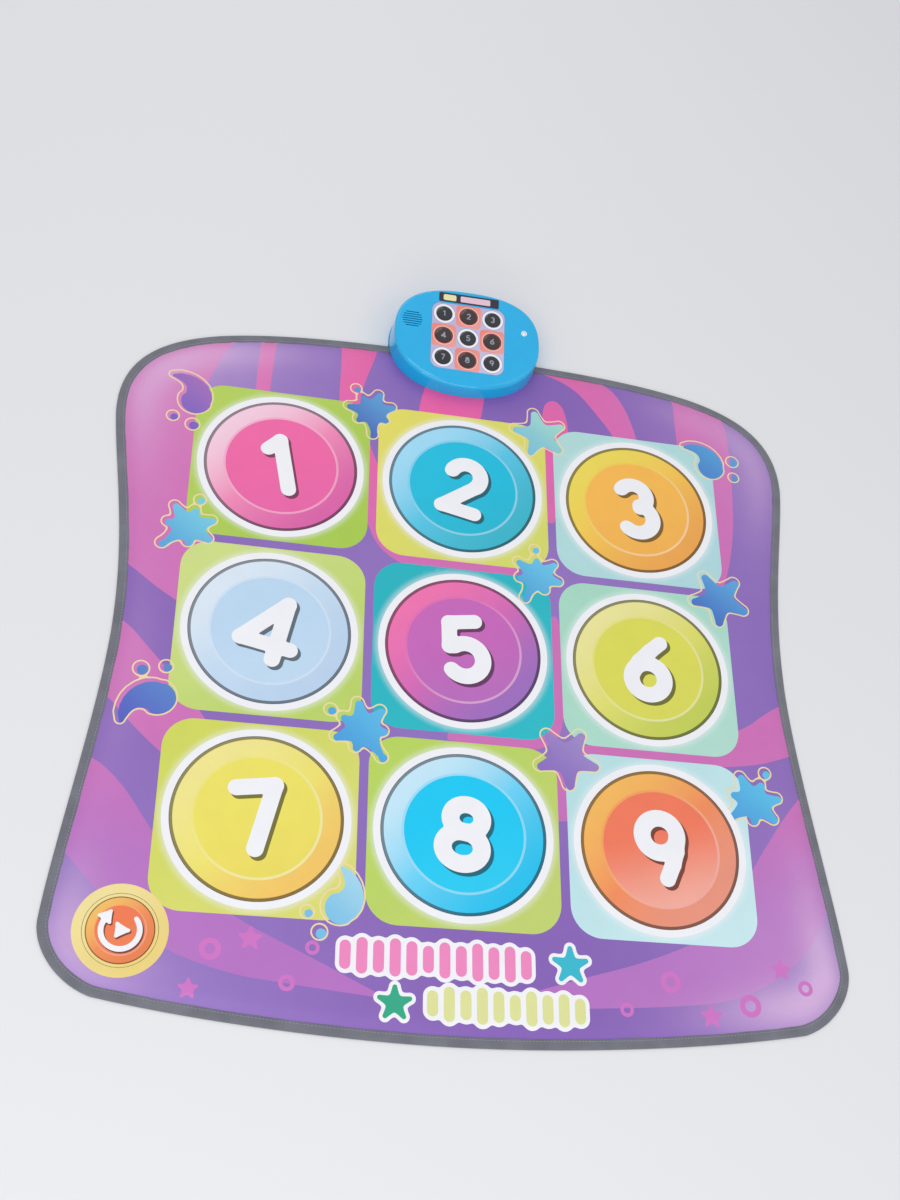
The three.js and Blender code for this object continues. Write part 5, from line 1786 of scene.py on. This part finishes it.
# %% Ribs, door and knob
def rib_tree(material):
    """Sets round ribs along a line, turned across it."""
    tree, start, end = tree_with("ribs_along_a_line", ["Pitch", "Length", "Thickness", "Lean"])
    rod_shape = grow(tree, "GeometryNodeMeshCylinder",
                     {"Vertices": 12, "Radius": start.outputs["Thickness"],
                      "Depth": start.outputs["Length"]})
    lean = grow(tree, "ShaderNodeCombineXYZ", {"Y": start.outputs["Lean"]})
    lying = grow(tree, "GeometryNodeTransform", {"Geometry": rod_shape.outputs[0],
                                                 "Rotation": lean.outputs[0]})
    placed = grow(tree, "GeometryNodeInstanceOnPoints",
                  {"Points": marks_along(tree, start), "Instance": lying.outputs[0]})
    finish_tree(tree, end, placed.outputs[0], material)
    return tree


def ribs(name, start, end, sizes, material):
    """Ribs from one point to another."""
    tree = rib_tree(material)
    return grown_piece(name, line_piece([start, end]), tree, sizes, material)


def battery_door():
    """The door's plate and its screw tab."""
    half_x, half_y = BAY_REACH - CLEARANCE, BAY_HALF_DEPTH - CLEARANCE
    plate = prism(rounded_plan(half_x, half_y, 1, (0, BAY_Y)), *DOOR_Z)
    tab_end = BAY_Y + BAY_HALF_DEPTH + DOOR_TAB_REACH
    tab = prism(rounded_plan(DOOR_TAB_HALF, 8, 1.5, (0, tab_end - 8)), *DOOR_Z)
    tools = [rod((0, DOOR_SCREW_Y), 1.5, -1, 4), rod((0, DOOR_SCREW_Y), 2.9, -1, 1.5)]
    return shaped(plate, [tab], tools, "bay_door", BASE_PLASTIC)


door = battery_door()
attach(door, "battery_door")
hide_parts("battery_door")
grip = ribs("door_grip_ribs", *DOOR_GRIP,
            {"Pitch": 1.8 * MM, "Length": 24 * MM, "Thickness": 0.32 * MM,
             "Lean": math.pi / 2}, BASE_PLASTIC)
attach(grip, "battery_door")


def switch_knob():
    """The knob with its flange behind the wall."""
    x, y, z = KNOB_PLACE
    half_y, half_z = KNOB_LENGTH / 2, KNOB_HEIGHT / 2
    flange = block((x + 4.3, x + 5.5), (y - half_y - 1.4, y + half_y + 1.4),
                   (z - half_z - 1.4, z + half_z + 1.4), DECK)
    grip_part = block((x + 4.3, KNOB_FACE_X), (y - half_y, y + half_y),
                      (z - half_z, z + half_z), DECK)
    return shaped(flange, [grip_part], name="switch_knob", material=DARK_PLASTIC)


knob = switch_knob()
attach(knob, "power_switch")
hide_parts("power_switch_knob")
knob_face = [(KNOB_FACE_X, KNOB_PLACE[1] + side * 1.8, KNOB_PLACE[2]) for side in (-1, 1)]
knob_grip = ribs("knob_grip_ribs", *knob_face,
                 {"Pitch": 0.9 * MM, "Length": 2.8 * MM, "Thickness": 0.2 * MM, "Lean": 0.0},
                 DARK_PLASTIC)
knob_grip.data.transform(DECK)
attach(knob_grip, "power_switch")

# %% [markdown]
# The cells and their contacts show only while the door is open. A cell is turned, with a printed
# sleeve whose colour bands are its ink. A contact is a pressed plate with a wire spring for each
# cell, and a spring is a round wire swept along a conical helix.

# %% Cells
CELL_RADIUS, CELL_LENGTH, CELL_SPACING, CELL_Z = 7.25, 49, 15.1, 9.75
SLEEVE = printed_vinyl("cell_sleeve", 0.3, Metallic=0.45)
CELL_END, CELL_BAND, CELL_BODY = ink("c9cbcf"), ink("d8dde0"), ink("4a7f86")


def cell_profile():
    """Profile of a cell from its flat end to its nub."""
    r, end = CELL_RADIUS, CELL_LENGTH / 2
    return [(0, -end), (r - 1, -end), (r, 0.8 - end), (r, -13.6), (r, -13.2), (r, end - 11.2),
            (r, end - 10.8), (r, end - 2.4), (r - 0.7, end - 1.5), (2.75, end - 1.5),
            (2.75, end - 0.3), (2.4, end), (0, end)]


def cell_inks(cell, way):
    """Inks of a cell: bare ends, a pale band near its nub and a plain body."""
    spots, end = np.empty(len(cell.data.vertices) * 3), CELL_LENGTH / 2
    cell.data.vertices.foreach_get("co", spots)
    along = spots.reshape(-1, 3)[:, 0] * way / MM
    faces = [list(face.vertices) for face in cell.data.polygons]
    middle = np.repeat([np.mean(along[face]) for face in faces], [len(face) for face in faces])
    middle = middle[:, None]
    return np.select([middle > end - 2, middle > end - 11, middle < 0.4 - end],
                     [CELL_END, CELL_BAND, CELL_END], CELL_BODY)


for i in range(3):
    way = 1 if i % 2 == 0 else -1
    turn = (Matrix.Translation((0, (BAY_Y + (i - 1) * CELL_SPACING) * MM, CELL_Z * MM))
            @ Matrix.Rotation(way * math.pi / 2, 4, "Y"))
    cell = turned(f"cell_{i + 1}", cell_profile(), SLEEVE, turn)
    keep_inks(cell, cell_inks(cell, way))
    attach(cell, "mat")
    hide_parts(f"battery_{i + 1}")


# %% Battery contacts
PLATE_THICKNESS = 0.5
SPRING_TURNS, SPRING_LENGTH = 2.5, 1.95
SPRING_FOOT_RADIUS, SPRING_TIP_RADIUS, WIRE_RADIUS = 3.2, 1.3, 0.28


def swept_wire(points, radius, sides=8):
    """Points and faces of a round wire along a line, with closed ends."""
    along = np.gradient(points, axis=0)
    along /= np.linalg.norm(along, axis=1)[:, None]
    across = np.cross(along, (1, 0, 0))
    across /= np.linalg.norm(across, axis=1)[:, None]
    other = np.cross(along, across)
    angles = np.linspace(0, 2 * math.pi, sides, endpoint=False)
    rings = points[:, None] + radius * (np.cos(angles)[:, None] * across[:, None]
                                        + np.sin(angles)[:, None] * other[:, None])
    faces, last = ring_walls(len(points), sides), (len(points) - 1) * sides
    faces += [tuple(range(sides))[::-1], tuple(last + j for j in range(sides))]
    return rings.reshape(-1, 3), faces


def battery_contact(side):
    """A plate with three conical springs that face the cells."""
    wall = BAY_REACH - CLEARANCE
    half_depth, half_height = BAY_HALF_DEPTH - CLEARANCE, CELL_RADIUS - CLEARANCE
    plate_x = sorted((side * wall, side * (wall - PLATE_THICKNESS)))
    corners = [(x, y, z) for x in plate_x for y in (BAY_Y - half_depth, BAY_Y + half_depth)
               for z in (CELL_Z - half_height, CELL_Z + half_height)]
    points = [np.array(corners, float)]
    faces = [(0, 1, 3, 2), (4, 6, 7, 5), (0, 4, 5, 1), (2, 3, 7, 6), (0, 2, 6, 4), (1, 5, 7, 3)]
    for i in range(3):
        t = np.linspace(0, 1, 61)
        angle = 2 * math.pi * SPRING_TURNS * t
        radius = SPRING_FOOT_RADIUS + (SPRING_TIP_RADIUS - SPRING_FOOT_RADIUS) * t
        x = side * (wall - PLATE_THICKNESS - 0.25 - SPRING_LENGTH * t)
        y = BAY_Y + (i - 1) * CELL_SPACING + radius * np.cos(angle)
        z = CELL_Z + radius * np.sin(angle)
        wire, wire_faces = swept_wire(np.column_stack([x, y, z]), WIRE_RADIUS)
        first = sum(map(len, points))
        points.append(wire)
        faces += [tuple(first + v for v in face) for face in wire_faces]
    return mesh_piece(f"bay_contact_{'left' if side < 0 else 'right'}", np.vstack(points), faces,
                      STEEL)


def outward(piece):
    """Turns every face of a piece outwards."""
    shape = bmesh.new()
    shape.from_mesh(piece.data)
    bmesh.ops.recalc_face_normals(shape, faces=shape.faces)
    shape.to_mesh(piece.data)
    shape.free()


for side, word in ((-1, "left"), (1, "right")):
    contact = battery_contact(side)
    outward(contact)
    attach(contact, "mat")
    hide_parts(f"battery_contact_{word}")

# %% [markdown]
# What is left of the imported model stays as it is, because its shapes are right: the board, the
# loudspeaker, the switch's body, the ribbon, the films and their contacts. Each gets its finish.


# %% Finishes of the pieces that stay
def circuit_board():
    """Green solder mask with fine copper tracks under it."""
    material, tree, shader = new_finish("circuit_board")
    where = places(tree)
    tracks = node(tree, "TexBrick", {"Vector": where, "Scale": 0.12, "Mortar Size": 0.03,
                                     "Color1": (0.0, 0.0, 0.0, 1), "Color2": (0.1, 0.1, 0.1, 1),
                                     "Mortar": (1, 1, 1, 1)}).outputs["Color"]
    feed(tree, shader, {"Base Color": tinted(tree, tracks, ink("1f5a30"), ink("4d8f4e")),
                        "Roughness": 0.35})
    bumps(tree, shader, tracks, 0.05)
    return material


def circuit_film():
    """Cloudy polyester film with printed lines."""
    material, tree, shader = new_finish("circuit_film")
    where = places(tree)
    lines = node(tree, "TexWave", {"Vector": where, "Scale": 0.02}, bands_direction="Y")
    tone = between(tree, lines.outputs["Fac"], 0.0, 1.0)
    feed(tree, shader, {"Base Color": tinted(tree, tone, ink("c6cdc6"), ink("dfe4de")),
                        "Roughness": between(tree, noise(tree, where, 0.1), 0.3, 0.45)})
    bumps(tree, shader, noise(tree, where, 0.3, 3.0), 0.05)
    return material


BOARD, FILM = circuit_board(), circuit_film()
CARBON = speckled("carbon_ink", ink("1c1c1e"), ink("2e2e31"), 1.5, 0.02, 0.55)
STAYING = {"main_board": BOARD, "loudspeaker": DARK_PLASTIC, "power_switch_body": DARK_PLASTIC,
           "ribbon_tail": FILM, "lower_circuit_film": FILM, "upper_circuit_film": FILM}
STAYING.update({f"{name}_contact": CARBON for name, *_ in pad_places()})
for name, finish in STAYING.items():
    for slot in nodes[name].material_slots:
        slot.material = finish
print("pieces that stay:", len(STAYING))


# %% [markdown]
# The camera stands where the photograph was taken from: above the start pad's corner, looking down
# on the middle of the mat. Its place and turn come from fitting the nine round pads to the ellipses
# that they make in the photograph.

# %% Camera
CAMERA_PLACE = (-0.367, -0.845, 1.601)
CAMERA_AHEAD = (0.187, 0.488, -0.853)
CAMERA_UP = (-0.106, 0.873, 0.477)
CAMERA_LENS = 44.73


def photograph_camera():
    """A camera at the photograph's angle."""
    back = -Vector(CAMERA_AHEAD).normalized()
    side = Vector(CAMERA_UP).cross(back).normalized()
    turn = Matrix((side, back.cross(side), back)).transposed().to_4x4()
    camera = new_object("camera", bpy.data.cameras.new("camera"))
    camera.data.lens = CAMERA_LENS
    camera.matrix_world = Matrix.Translation(CAMERA_PLACE) @ turn
    bpy.context.scene.camera = camera


photograph_camera()

# %% [markdown]
# The light is a soft studio's: a pale world from all round, one large lamp from the near left, a
# low and wide one in front for the console's wall and the gloss on its rim, a weaker one from the
# right, and a small one from behind for the gloss on the round edges. Their sum on a level white
# card is close to 1, so that each colour renders about as it is written.

# %% Lamps, world and floor
WORLD_LIGHT, WORLD_SEEN = 0.64, 0.95
FLOOR_REACH = 6000


def lamp(name, place, width, height, power, target=(0, 0, 0)):
    """A large soft lamp that faces the mat."""
    light = bpy.data.lights.new(name, "AREA")
    light.shape, light.size, light.size_y, light.energy = "RECTANGLE", width, height, power
    turn = (Vector(place) - Vector(target)).to_track_quat("Z", "Y").to_matrix().to_4x4()
    new_object(name, light).matrix_world = Matrix.Translation(place) @ turn


def studio_world():
    """A pale world that shows as white, in gloss and glass too, and lights the mat weakly."""
    world = bpy.data.worlds.new("studio")
    world.use_nodes = True
    tree = world.node_tree
    rays = node(tree, "LightPath")
    seen = rays.outputs["Is Camera Ray"]
    for kind in ("Is Glossy Ray", "Is Transmission Ray"):
        seen = node(tree, "Math", {0: seen, 1: rays.outputs[kind]}, operation="MAXIMUM").outputs[0]
    strength = between(tree, seen, WORLD_LIGHT, WORLD_SEEN)
    feed(tree, tree.nodes["Background"], {"Strength": strength, "Color": (0.97, 0.98, 1, 1)})
    bpy.context.scene.world = world


def pale_floor():
    """A wide plain floor under the mat."""
    material, tree, shader = new_finish("pale_floor")
    feed(tree, shader, {"Base Color": (0.8, 0.8, 0.82, 1), "Roughness": 0.7})
    corners = FLOOR_REACH * np.array([(-1, -1, 0), (1, -1, 0), (1, 1, 0), (-1, 1, 0)])
    floor = mesh_piece("floor", corners - (0, 0, 0.05), [(0, 1, 2, 3)], material)


lamp("key_lamp", (-1.1, -1.0, 2.3), 1.6, 1.6, 14)
lamp("front_lamp", (-0.3, -2.1, 1.1), 2.4, 0.5, 12, (0, 0.3, 0))
lamp("fill_lamp", (1.8, -0.4, 1.9), 1.8, 1.8, 5)
lamp("rear_lamp", (-0.4, 1.9, 1.7), 1.2, 1.2, 6)
studio_world()
pale_floor()
bpy.context.scene.view_settings.view_transform = "Standard"
